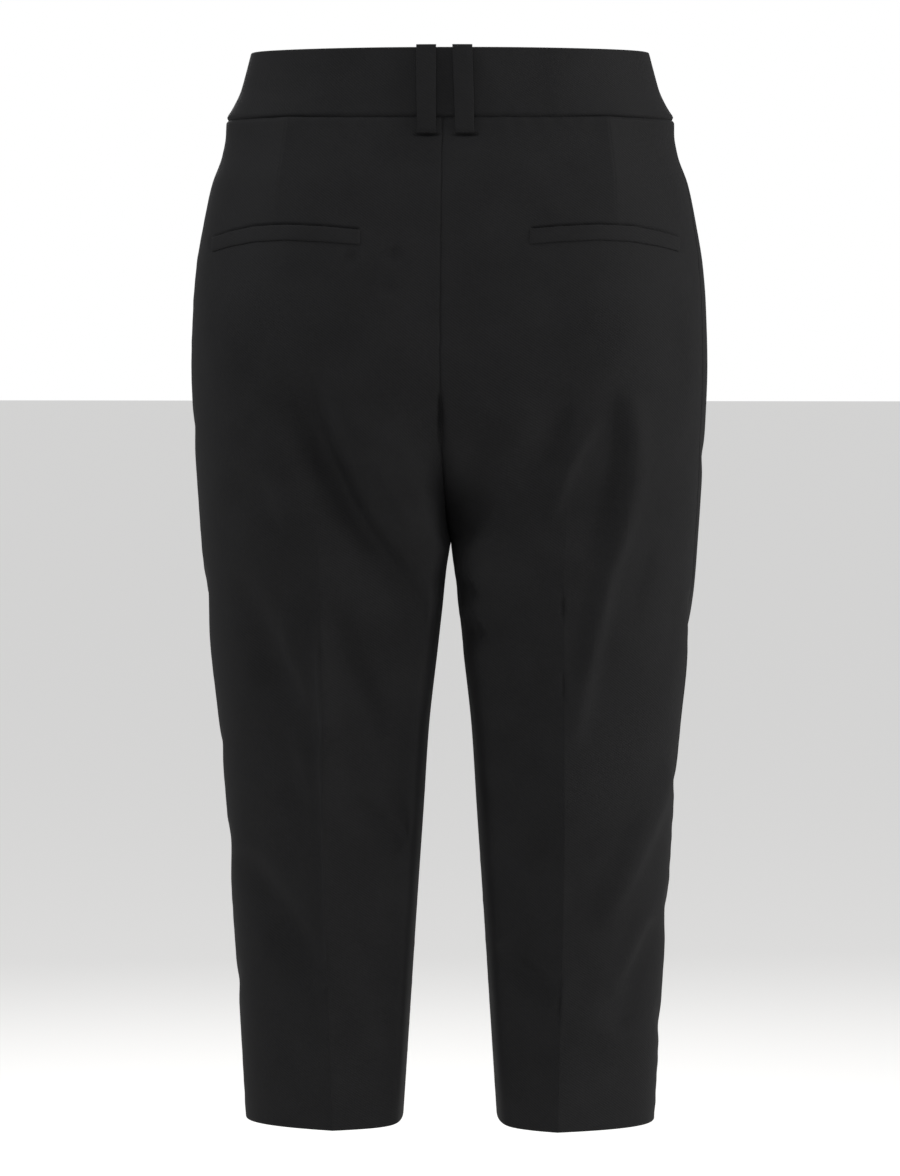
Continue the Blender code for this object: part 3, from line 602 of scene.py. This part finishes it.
def fold_depth(half, points, normals):
    """How far the folds press the cloth in: a bell across each line, fading at its ends and off its face."""
    facing = {"back": normals[..., 1], "front": -normals[..., 1], "side": normals[..., 0]}
    across = {"back": points[..., 0], "front": points[..., 0], "side": points[..., 1]}
    depth = np.zeros(points.shape[:-1])
    for face, folds in FOLDS[half].items():
        for fold in folds:
            path, share = fold_path(fold)
            line = path * np.array([1 if face == "side" else SIDES[half], 1])
            away = np.stack([across[face], points[..., 2]], axis=-1)
            nearest = np.hypot(away[..., :1] - line[:, 0], away[..., 1:] - line[:, 1]).argmin(axis=-1)
            run = np.gradient(line, axis=0)[nearest]
            away = away - line[nearest]
            along = (away * run).sum(axis=-1) / (run * run).sum(axis=-1)
            along = np.clip(along, -0.5, 0.5).clip(-nearest, FOLD_SAMPLES - 1 - nearest)
            fading = np.sin(np.pi * (share[nearest] + along / (FOLD_SAMPLES - 1))).clip(0) ** FOLD_FADE
            away = away - along[..., np.newaxis] * run
            gap = np.linalg.norm(away, axis=-1)
            # How far a point lies outwards of the line, from -1 to 1, sets which of the two widths it gets
            outwards = run[..., 0] * away[..., 1] - run[..., 1] * away[..., 0]
            outwards /= np.linalg.norm(run, axis=-1) * np.maximum(gap, TINY)
            width = (fold.outer_width * (1 + outwards) + fold.inner_width * (1 - outwards)) / 2
            bell = np.exp(-((gap / width) ** 2))
            depth += fold.depth * fading * bell * np.clip(facing[face], 0, 1)
    return depth * sizes().creases


def smooth_step(value):
    """0 below 0, 1 above 1, and an even S between."""
    t = np.clip(value, 0, 1)
    return t * t * (3 - 2 * t)


# --- Meshes and materials ------------------------------------------------------------------------------


def sizes():
    return bpy.context.scene.capri_sizes


def colours():
    return bpy.context.scene.capri_colours


def flat_tube(name, loops, pattern, material):
    """One closed piece from loops of points round a thickness (rows), carried across it (columns).

    Row k faces row -1-k through the thickness, so each end is closed by a ladder of quads between them.
    Pattern holds each point's place on the flat cloth, which becomes the UV map.
    """
    rows, columns = loops.shape[:2]
    index = np.arange(rows * columns).reshape(rows, columns)
    after = np.roll(index, -1, axis=0)
    sides = np.stack([index[:, :-1], index[:, 1:], after[:, 1:], after[:, :-1]], axis=-1).reshape(-1, 4)
    near, far = np.arange(rows // 2 - 1), rows - 1 - np.arange(rows // 2 - 1)
    first, last = index[:, 0], index[:, -1]
    start = np.stack([first[near], first[near + 1], first[far - 1], first[far]], axis=-1)
    end = np.stack([last[far], last[far - 1], last[near + 1], last[near]], axis=-1)
    faces = np.concatenate([sides, start, end])
    mesh = bpy.data.meshes.new(name)
    mesh.from_pydata(loops.reshape(-1, 3).tolist(), [], faces.tolist())
    layer = mesh.uv_layers.new(name="cloth")
    layer.data.foreach_set("uv", pattern.reshape(-1, 2)[faces.reshape(-1)].ravel())
    mesh.materials.append(material)
    mesh.shade_smooth()
    mesh.set_sharp_from_angle(angle=SHARP_ANGLE)
    piece = bpy.data.objects.new(name, mesh)
    bpy.context.scene.collection.objects.link(piece)
    return piece


def mirrored(half, loops, pattern):
    """Moves the left half's loops to their own side. The right half is turned round so it still faces out."""
    loops = loops * np.array([SIDES[half], 1, 1])
    if half == "right":
        return loops[:, ::-1], pattern[:, ::-1] * np.array([-1, 1])
    return loops, pattern


def add_node(tree, kind, settings=None, links=None):
    """Adds a node, sets its named properties and sockets, and joins its sockets to others' outputs."""
    node = tree.nodes.new(kind)
    for key, value in (settings or {}).items():
        if isinstance(key, str) and hasattr(node, key):
            setattr(node, key, value)
        else:
            node.inputs[key].default_value = value
    for key, output in (links or {}).items():
        tree.links.new(output, node.inputs[key])
    return node


def worsted_suiting():
    """Worsted wool-blend suiting, woven as a fine twill and pressed: dull, with a faint lit nap."""
    material = bpy.data.materials.get("worsted suiting")
    if material:
        return material
    material = bpy.data.materials.new("worsted suiting")
    material.use_nodes = True
    tree = material.node_tree
    tree.nodes.clear()
    turn = 2 * math.pi
    # Twill lines of a real worsted lie 0.6 mm apart. They are drawn 1.5 mm apart, or none would show.
    line = turn / 0.0015
    thread = turn / 0.0011
    cloth = add_node(tree, "ShaderNodeUVMap", {"uv_map": "cloth"}).outputs[0]
    place = add_node(tree, "ShaderNodeTexCoord").outputs["Object"]
    slub = add_node(tree, "ShaderNodeTexNoise", {"Scale": 160.0, "Detail": 2.0}, {"Vector": cloth})
    bent = add_node(
        tree, "ShaderNodeVectorMath", {"operation": "SCALE", "Scale": 0.0009}, {0: slub.outputs["Color"]}
    )
    wavy = add_node(
        tree, "ShaderNodeVectorMath", {"operation": "ADD"}, {0: cloth, 1: bent.outputs[0]}
    ).outputs[0]

    def ripple(direction):
        across = add_node(
            tree, "ShaderNodeVectorMath", {"operation": "DOT_PRODUCT", 1: direction}, {0: wavy}
        )
        wave = add_node(tree, "ShaderNodeMath", {"operation": "SINE"}, {0: across.outputs["Value"]})
        return wave.outputs[0]

    twill = ripple((line * 0.55, line * 0.83, 0))
    warp = ripple((thread, 0, 0))
    both = add_node(tree, "ShaderNodeMath", {"operation": "MULTIPLY_ADD", 1: 0.35}, {0: warp, 2: twill})
    raised = add_node(
        tree,
        "ShaderNodeMapRange",
        {"From Min": -1.35, "From Max": 1.35, "To Min": 0.0, "To Max": 1.0},
        {"Value": both.outputs[0]},
    ).outputs[0]
    # Cloudy unevenness of pressed cloth, 20 to 60 mm across, and fine flecks 2 mm across
    cloud = add_node(tree, "ShaderNodeTexNoise", {"Scale": 26.0, "Detail": 3.0}, {"Vector": place})
    fleck = add_node(tree, "ShaderNodeTexNoise", {"Scale": 480.0, "Detail": 2.0}, {"Vector": place})
    shade = add_node(
        tree, "ShaderNodeMath", {"operation": "MULTIPLY_ADD", 1: 0.45}, {0: raised, 2: cloud.outputs[0]}
    )
    shade = add_node(
        tree,
        "ShaderNodeMath",
        {"operation": "MULTIPLY_ADD", 1: 0.40},
        {0: fleck.outputs[0], 2: shade.outputs[0]},
    )
    amount = add_node(
        tree,
        "ShaderNodeMapRange",
        {"From Min": 0.55, "From Max": 1.30, "To Min": 0.0, "To Max": 1.0},
        {"Value": shade.outputs[0]},
    )
    tint = add_node(
        tree,
        "ShaderNodeMix",
        {"data_type": "RGBA", 6: (*colours().suiting, 1), 7: (*colours().suiting_light, 1)},
        {0: amount.outputs[0]},
    )
    rough = add_node(
        tree,
        "ShaderNodeMapRange",
        {"From Min": 0.3, "From Max": 0.7, "To Min": 0.58, "To Max": 0.72},
        {"Value": cloud.outputs[0]},
    )
    weave = add_node(
        tree, "ShaderNodeBump", {"Strength": 0.35, "Distance": 0.00012}, {"Height": raised}
    )
    shader = add_node(
        tree,
        "ShaderNodeBsdfPrincipled",
        {
            "IOR": 1.45,
            "Specular IOR Level": 0.09,
            "Sheen Weight": 0.02,
            "Sheen Roughness": 0.5,
            "Sheen Tint": (0.80, 0.80, 0.84, 1),
        },
        {"Base Color": tint.outputs[2], "Roughness": rough.outputs[0], "Normal": weave.outputs[0]},
    )
    add_node(tree, "ShaderNodeOutputMaterial", links={"Surface": shader.outputs[0]})
    return material


def fit_out(piece, node):
    """Puts a piece in the place of its frame node."""
    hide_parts(node)
    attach(piece, "root")
    return piece


# --- Panels --------------------------------------------------------------------------------------------


def spread(length, cells, near_start=NEAR_LINE, near_end=NEAR_LINE):
    """Distances along a stretch: fixed near both its ends, and evenly shared out between."""
    length = np.asarray(length)[..., np.newaxis]
    middle = np.linspace(0, 1, cells + 1)[1:-1]
    inner = length - near_start[-1] - near_end[-1]
    return np.concatenate(
        [near_start + 0 * length, near_start[-1] + inner * middle, length - near_end[::-1]], axis=-1
    )


def arc_from(half, level, start, end):
    """Girths from one line to another at each level, and the length of cloth run at each."""
    girths = start[:, np.newaxis] + np.linspace(0, 1, ARC_SAMPLES) * (end - start)[:, np.newaxis]
    points = rib(half, np.broadcast_to(level[:, np.newaxis], girths.shape), girths)
    steps = np.linalg.norm(np.diff(points, axis=1), axis=-1)
    return girths, np.concatenate([np.zeros((len(level), 1)), np.cumsum(steps, axis=1)], axis=1)


def columns_between(half, level, marks, cells):
    """Girths of a panel's columns and their distance from its first edge. Every mark has its own column."""
    girths, arcs = arc_from(half, level, marks[0], marks[-1])
    at = [np.array([np.interp(m, g, a) for m, g, a in zip(mark, girths, arcs)]) for mark in marks]
    runs = [start[:, np.newaxis] + spread(end - start, n) for start, end, n in zip(at, at[1:], cells)]
    distance = np.concatenate([runs[0], *[run[:, 1:] for run in runs[1:]]], axis=1)
    girth = np.array([np.interp(d, a, g) for d, a, g in zip(distance, arcs, girths)])
    return girth, distance, at


def panel_levels():
    """Levels of a panel's rows: close at the waist seam, the loops' ends, the pockets and the hem."""
    top = BAND_FOOT - 0.0001 - NEAR_LINE
    loop_end = LOOP_FOOT - BELOW_LOOP
    to_pocket = np.linspace(loop_end[-1], POCKET_ROWS_TOP, 22)[1:-1]
    pocket = np.linspace(POCKET_ROWS_TOP, POCKET_ROWS_FOOT, 36)
    hem_edge = HEM + sizes().hem_depth
    down = np.linspace(POCKET_ROWS_FOOT, hem_edge + 0.0005, 200)[1:-1]
    step = np.array([hem_edge + 0.0004, hem_edge - 0.0004])
    hem = np.linspace(hem_edge - 0.0030, HEM + 0.0022, 12)
    return np.concatenate([top, loop_end, to_pocket, pocket, down, step, hem, [HEM + HEM_FOLD]])


def seam_dip(distance, width=SEAM_WIDTH):
    """The cloth's dip into a seam: a bell, deepest at the seam and gone a little over two widths from it."""
    return sizes().seam_depth * np.exp(-((distance / width) ** 2))


def pucker(distance, run, phase):
    """Uneven waves along a seam, drawn up by its thread: two sines that fade 12 mm from the seam."""
    wave = np.sin(run / SHORT_PUCKER + phase) + 0.7 * np.sin(run / LONG_PUCKER + 2.1 * phase)
    swell = 0.6 + 0.4 * np.sin(run / PUCKER_SWELL + phase)
    return sizes().pucker * wave * swell * np.exp(-((distance / PUCKER_REACH) ** 2))


def pocket_mouth(half, points, normals):
    """The groove above a back pocket's welt: a bell across its upper edge that fades out at both ends."""
    across, welt = points[..., 0], [WELT_INNER_END[half], *WELT_STATIONS]
    stations = [row.across for row in welt]
    upper = np.interp(across, stations, [row.upper_z for row in welt])
    inside = smooth_step((across - stations[0]) / MOUTH_END_REACH)
    inside = inside * smooth_step((stations[-1] - across) / MOUTH_END_REACH)
    on_back = np.clip(normals[..., 1] * 3, 0, 1)
    above = points[..., 2] - upper - MOUTH_ABOVE_WELT
    return MOUTH_DEPTH * inside * on_back * np.exp(-((above / MOUTH_WIDTH) ** 2))


def panel_loops(half, front):
    """Rows of a panel round its thickness: outside, round the hem's fold, and inside."""
    s = sizes()
    level = panel_levels()
    seam = side_seam(half, level)
    crease = np.full_like(level, 3.0 if front else 1.0)
    edge = np.full_like(level, 4.0 if front else 0.0)
    if front:
        marks, cells = [seam, crease, edge], FRONT_CELLS
    else:
        girths, arcs = arc_from(half, level, crease, seam)
        from_crease = read_column(DART_LINE[half], "from_crease", level)
        dart = np.array([np.interp(d, a, g) for d, a, g in zip(from_crease, arcs, girths)])
        marks, cells = [edge, crease, dart, seam], BACK_CELLS
    girth, distance, at = columns_between(half, level, marks, cells)
    level = np.broadcast_to(level[:, np.newaxis], girth.shape)
    base, normals = rib(half, level, girth), outward(half, level, girth)
    from_start, from_end = distance, distance[:, -1:] - distance
    from_waist, run = BAND_FOOT - level, -level
    folds = fold_depth(half, base, normals)
    phase = 1.0 + 1.7 * front + 0.9 * (half == "right")
    relief = (
        seam_dip(from_start) + seam_dip(from_end)
        + WAIST_SEAM_SHARE * seam_dip(from_waist, WAIST_SEAM_WIDTH)
        + pucker(from_start, run, phase) + pucker(from_end, run, phase + 2)
        + pucker(from_waist, distance, phase + 4)
    )
    if not front:
        dart_gap = distance - at[2][:, np.newaxis]
        fading = smooth_step((level - DART_POINT) / DART_FADE)
        relief = relief - DART_RIDGE * fading * np.exp(-np.abs(dart_gap) / DART_REACH)
        relief = relief + DART_GROOVE * fading * np.exp(-((dart_gap / DART_GROOVE_WIDTH) ** 2))
        relief = relief + pocket_mouth(half, base, normals)
    outer = folds + relief
    # Inside: one layer, plus the turnings along each seam and the cloth turned up at the hem
    turned = (np.minimum(from_start, from_end) < s.allowance) | (from_waist < s.allowance)
    turned_up = level < HEM + s.hem_depth
    inner = folds + s.cloth + TURNING_SHARE * s.cloth * turned + HEM_SHARE * s.cloth * turned_up
    fold_radius = (inner[-1] - outer[-1]) / 2
    angles = HALF_TURN[:, np.newaxis]
    fold_in = outer[-1] + fold_radius * (1 - np.cos(angles))
    fold_drop = level[-1] - HEM_FOLD * np.sin(angles)
    rows_in = np.concatenate([outer, fold_in, inner[::-1]])
    rows_level = np.concatenate([level, fold_drop, level[::-1]])
    rows_girth = np.concatenate([girth, np.repeat(girth[-1:], len(angles), axis=0), girth[::-1]])
    surface, facing = rib(half, rows_level, rows_girth), outward(half, rows_level, rows_girth)
    loops = surface - facing * rows_in[..., np.newaxis]
    clear = np.array([SEAM_CLEAR, 0, 0])
    from_crease = distance - at[1][:, np.newaxis]
    spread_out = np.concatenate([
        from_crease, np.repeat(from_crease[-1:], len(angles), axis=0), from_crease[::-1]
    ])
    pattern = np.stack([spread_out, -rows_level], axis=-1)
    return mirrored(half, loops + clear, pattern)


def add_cloth(name, node, loops, pattern):
    """Adds a piece of cloth in the place of its frame node, with its flat cut as its UV map."""
    piece = fit_out(flat_tube(name, loops, pattern, worsted_suiting()), node)


# --- Operators -----------------------------------------------------------------------------------------


def add_panels(front):
    for half in SIDES:
        name = f"{'front' if front else 'back'}_{half}"
        add_cloth(f"{name}_panel", name, *panel_loops(half, front))


class CAPRI_OT_back_panels(bpy.types.Operator):
    """Sews the two back panels, with their darts and pocket mouths"""

    bl_idname = "capri.back_panels"
    bl_label = "Back panels"

    def execute(self, context):
        add_panels(front=False)
        return {"FINISHED"}


class CAPRI_OT_front_panels(bpy.types.Operator):
    """Sews the two front panels"""

    bl_idname = "capri.front_panels"
    bl_label = "Front panels"

    def execute(self, context):
        add_panels(front=True)
        return {"FINISHED"}


def band_profile():
    """Heights and depths round the waistband's section: up its outside, over its fold, down its inside."""
    radius = sizes().band / 2
    foot, top = BAND_FOOT + 0.0001, BAND_TOP - radius
    rise = spread(np.array(top - foot), BAND_ROWS, NEAR_LINE[:-1], NEAR_LINE[:4])
    height = foot + rise
    depth = seam_dip(rise, WAIST_SEAM_WIDTH) * WAIST_SEAM_SHARE
    depth = depth - BAND_BULGE * np.sin(np.pi * rise / (top - foot))
    heights = np.concatenate([height, top + radius * np.sin(HALF_TURN), height[::-1]])
    round_fold = radius * (1 - np.cos(HALF_TURN))
    depths = np.concatenate([depth, round_fold, np.full(len(height), 2 * radius)])
    return heights, depths


def band_loops(half, start, end):
    """A stretch of the waistband: its section carried along the ribs from one girth to another."""
    heights, depths = band_profile()
    levels = np.full(1, BAND_FOOT)
    marks = [np.full(1, start), np.full(1, end)]
    girth, distance, _ = columns_between(half, levels, marks, [BAND_CELLS])
    level = np.broadcast_to(heights[:, np.newaxis], (len(heights), girth.shape[1]))
    girth = np.broadcast_to(girth, level.shape)
    base, normals = rib(half, level, girth), outward(half, level, girth)
    half_way = len(heights) // 2
    outside = (np.arange(len(heights)) < half_way)[:, np.newaxis]
    rise = level - BAND_FOOT
    ripple = pucker(rise, distance + 0.3, 3.0) + BAND_WAVE * np.sin(distance / BAND_WAVE_LENGTH + 1)
    depth = depths[:, np.newaxis] + ripple * outside
    loops = base - normals * depth[..., np.newaxis]
    pattern = np.stack([np.broadcast_to(distance, level.shape), -level], axis=-1)
    return loops, pattern


class CAPRI_OT_waistband(bpy.types.Operator):
    """Sews the shaped waistband: one piece behind, and two that meet at the centre front"""

    bl_idname = "capri.waistband"
    bl_label = "Waistband"

    def execute(self, context):
        walls = []
        for half in SIDES:
            seam = float(side_seam(half, np.array(BAND_FOOT)))
            loops, pattern = band_loops(half, 0.0, seam)
            ends = slice(1, None) if half == "left" else slice(None)
            loops, pattern = mirrored(half, loops, pattern)
            walls.append((loops[:, ends], pattern[:, ends]))
            loops, pattern = band_loops(half, seam, 4.0)
            loops, pattern = mirrored(half, loops + np.array([SEAM_CLEAR, 0, 0]), pattern)
            add_cloth(f"waistband_front_{half}_piece", f"waistband_front_{half}", loops, pattern)
        left, right = walls
        loops, pattern = (np.concatenate(pair, axis=1) for pair in zip(right, left))
        add_cloth("waistband_back_piece", "waistband_back", loops, pattern)
        return {"FINISHED"}


class CAPRI_OT_pocket_welts(bpy.types.Operator):
    """Sews the single welt of each back pocket"""

    bl_idname = "capri.pocket_welts"
    bl_label = "Pocket welts"

    def execute(self, context):
        for half in SIDES:
            add_cloth(f"welt_{half}_piece", f"welt_{half}", *welt_loops(half))
        return {"FINISHED"}


def welt_loops(half):
    """A welt: round its folded upper edge and its sewn lower edge, carried along the pocket's mouth."""
    welt = [WELT_INNER_END[half], *WELT_STATIONS]
    stations = np.array([row.across for row in welt])
    across = stations[0] + spread(np.array(stations[-1] - stations[0]), 40, NEAR_LINE[:5], NEAR_LINE[:5])
    upper = np.interp(across, stations, [row.upper_z for row in welt])
    lower = np.interp(across, stations, [row.lower_z for row in welt])
    share = np.concatenate([WELT_DOWN, WELT_DOWN[::-1]])[:, np.newaxis]
    level = upper + share * (lower - upper)
    girth = girth_at(half, level, np.broadcast_to(across, level.shape), False)
    base, normals = rib(half, level, girth), outward(half, level, girth)
    folds = fold_depth(half, base, normals)
    sewn_down = smooth_step((across - stations[0]) / WELT_END_REACH + WELT_END_START)
    section = np.concatenate([WELT_UPPER_SIDE, WELT_UNDER_SIDE[::-1]]) / 1000
    height = section[:, np.newaxis] * sewn_down - folds
    loops = base + normals * height[..., np.newaxis]
    pattern = np.stack([np.broadcast_to(across, level.shape), -level], axis=-1)
    return mirrored(half, loops, pattern)


def belt_loop_loops(half, across, front):
    """A belt loop: a soft-edged strap section, carried from the band's top to below its seam."""
    run = np.linspace(0, 1, LOOP_STEPS)
    level = LOOP_TOP + run * (LOOP_FOOT - LOOP_TOP)
    lift = LOOP_ENDS_LIFT + LOOP_BULGE * np.sin(np.pi * run).clip(0) ** LOOP_ROUNDNESS
    angle = np.linspace(0, np.pi, LOOP_EDGE_STEPS)
    sideways = -np.cos(angle)
    bow = np.sin(angle) ** LOOP_EDGE_ROUNDNESS
    places = np.concatenate([sideways, sideways[::-1]])
    off_middle = np.concatenate([bow, -bow[::-1]]) * LOOP_THICKNESS / 2
    ends = np.clip(np.minimum(level - LOOP_FOOT, LOOP_TOP - level) / LOOP_PRESSED_END, 0, 1)
    pressed = LOOP_PRESSED_SHARE + (1 - LOOP_PRESSED_SHARE) * np.sqrt(1 - (1 - ends) ** 2)
    half_width = sizes().loop_width / 2 * (1 - LOOP_NARROWING * run)
    x = across[0] + run * (across[1] - across[0]) + half_width * places[:, np.newaxis]
    z = np.broadcast_to(level, x.shape)
    girth = girth_at(half, z, x, front)
    base, normals = rib(half, z, girth), outward(half, z, girth)
    height = lift + off_middle[:, np.newaxis] * pressed
    loops = base + normals * height[..., np.newaxis]
    pattern = np.stack([x, -z], axis=-1)
    if front:
        loops, pattern = loops[::-1], pattern[::-1]
    return mirrored(half, loops, pattern)


class CAPRI_OT_belt_loops(bpy.types.Operator):
    """Sews the four belt loops over the waistband"""

    bl_idname = "capri.belt_loops"
    bl_label = "Belt loops"

    def execute(self, context):
        for half in SIDES:
            for place in ("back", "front"):
                loops, pattern = belt_loop_loops(half, LOOP_ACROSS[place, half], place == "front")
                name = f"belt_loop_{place}_{half}"
                piece = fit_out(flat_tube(f"{name}_strap", loops, pattern, worsted_suiting()), name)
        return {"FINISHED"}


class CAPRI_OT_stage(bpy.types.Operator):
    """Sets the pale floor, the soft studio lights and the camera"""

    bl_idname = "capri.stage"
    bl_label = "Stage"

    def execute(self, context):
        scene = context.scene
        scene.view_settings.view_transform = "Standard"
        add_floor()
        scene.world = white_room()
        for light in STAGE_LIGHTS:
            add_light(light)
        add_camera(scene)
        return {"FINISHED"}


Light = namedtuple("Light", "name azimuth elevation distance width height watts colour")
STAGE_LIGHTS = [
    Light("key", 262, 42, 2.5, 1.2, 1.6, 20, "#fffefc"),
    Light("low key", 258, 5, 2.5, 1.2, 1.6, 15, "#fffefc"),
    Light("fill", 102, 45, 2.5, 1.2, 1.6, 22, "#fdfeff"),
    Light("back", 180, 20, 2.5, 1.2, 1.6, 11, "#ffffff"),
    Light("front", 8, 30, 2.6, 1.6, 1.6, 22, "#ffffff"),
]
CAMERA_AZIMUTH = 183.0
CAMERA_ELEVATION = 3.27
CAMERA_DISTANCE = 3.606
CAMERA_LENS = 157.7
AIM = Vector((0, 0, -0.3494))
ROOM_LIGHT = 0.22
FLOOR_GLOW = 0.45
FLOOR_LEVEL = -1.05
FLOOR_REACH = 40.0


def white_room():
    """A white room that is seen at full brightness and lights the cloth at ROOM_LIGHT of it."""
    world = bpy.data.worlds.new("white room")
    world.use_nodes = True
    tree = world.node_tree
    seen = add_node(tree, "ShaderNodeLightPath").outputs["Is Camera Ray"]
    strength = add_node(
        tree, "ShaderNodeMapRange", {"To Min": ROOM_LIGHT, "To Max": 1.0}, {"Value": seen}
    )
    background = tree.nodes["Background"]
    background.inputs["Color"].default_value = (1, 1, 1, 1)
    tree.links.new(strength.outputs[0], background.inputs["Strength"])
    return world


def towards(azimuth, elevation):
    """Direction from the object to a viewer, where azimuth 0 stands in front and 90 at the wearer's left."""
    a, e = math.radians(azimuth), math.radians(elevation)
    return Vector((math.sin(a) * math.cos(e), -math.cos(a) * math.cos(e), math.sin(e)))


def add_light(light):
    data = bpy.data.lights.new(light.name, "AREA")
    data.shape, data.size, data.size_y = "RECTANGLE", light.width, light.height
    data.energy, data.color = light.watts, linear(light.colour)
    lamp = bpy.data.objects.new(light.name, data)
    back = towards(light.azimuth, light.elevation)
    lamp.location = AIM + back * light.distance
    lamp.rotation_mode = "QUATERNION"
    lamp.rotation_quaternion = (-back).to_track_quat("-Z", "Y")
    bpy.context.scene.collection.objects.link(lamp)


def add_camera(scene):
    data = bpy.data.cameras.new("camera")
    data.lens, data.sensor_width, data.sensor_fit = CAMERA_LENS, 36, "AUTO"
    camera = bpy.data.objects.new("camera", data)
    back = towards(CAMERA_AZIMUTH, CAMERA_ELEVATION)
    camera.location = AIM + back * CAMERA_DISTANCE
    camera.rotation_mode = "QUATERNION"
    camera.rotation_quaternion = (-back).to_track_quat("-Z", "Y")
    scene.collection.objects.link(camera)
    scene.camera = camera


def add_floor():
    """A plain matt floor, which only shows its upper side, so that the hems can be seen from below."""
    material = bpy.data.materials.new("matt painted board")
    material.use_nodes = True
    tree = material.node_tree
    tree.nodes.clear()
    back = add_node(tree, "ShaderNodeNewGeometry").outputs["Backfacing"]
    seen = add_node(tree, "ShaderNodeLightPath").outputs["Is Camera Ray"]
    glow = add_node(tree, "ShaderNodeMath", {"operation": "MULTIPLY", 1: FLOOR_GLOW}, {0: seen})
    paint = add_node(
        tree,
        "ShaderNodeBsdfPrincipled",
        {
            "Base Color": (*colours().floor, 1),
            "Roughness": 0.9,
            "Specular IOR Level": 0.1,
            "Emission Color": (1, 1, 1, 1),
        },
        {"Emission Strength": glow.outputs[0]},
    )
    clear = add_node(tree, "ShaderNodeBsdfTransparent")
    mix = add_node(tree, "ShaderNodeMixShader", links={0: back, 1: paint.outputs[0], 2: clear.outputs[0]})
    add_node(tree, "ShaderNodeOutputMaterial", links={"Surface": mix.outputs[0]})
    mesh = bpy.data.meshes.new("floor")
    r, z = FLOOR_REACH, FLOOR_LEVEL
    mesh.from_pydata([(-r, -r, z), (r, -r, z), (r, r, z), (-r, r, z)], [], [(0, 1, 2, 3)])
    mesh.materials.append(material)
    floor = bpy.data.objects.new("floor", mesh)
    bpy.context.scene.collection.objects.link(floor)


STEPS = (
    CAPRI_OT_waistband,
    CAPRI_OT_back_panels,
    CAPRI_OT_front_panels,
    CAPRI_OT_pocket_welts,
    CAPRI_OT_belt_loops,
    CAPRI_OT_stage,
)


class VIEW3D_PT_capri(bpy.types.Panel):
    """Lists the steps that make the trousers, and their sizes and colours"""

    bl_idname = "VIEW3D_PT_capri"
    bl_label = "Capri trousers"
    bl_space_type = "VIEW_3D"
    bl_region_type = "UI"
    bl_category = "Capri trousers"

    def draw(self, context):
        for group in (context.scene.capri_sizes, context.scene.capri_colours):
            for name in group.__annotations__:
                self.layout.prop(group, name)
        for step in STEPS:
            self.layout.operator(step.bl_idname)


CLASSES = (CapriSizes, CapriColours, *STEPS, VIEW3D_PT_capri)


def register():
    for cls in CLASSES:
        bpy.utils.register_class(cls)
    bpy.types.Scene.capri_sizes = PointerProperty(type=CapriSizes)
    bpy.types.Scene.capri_colours = PointerProperty(type=CapriColours)


def unregister():
    del bpy.types.Scene.capri_colours
    del bpy.types.Scene.capri_sizes
    for cls in reversed(CLASSES):
        bpy.utils.unregister_class(cls)


def main():
    register()
    for step in STEPS:
        group, name = step.bl_idname.split(".")
        getattr(getattr(bpy.ops, group), name)()


if __name__ == "__main__":
    main()
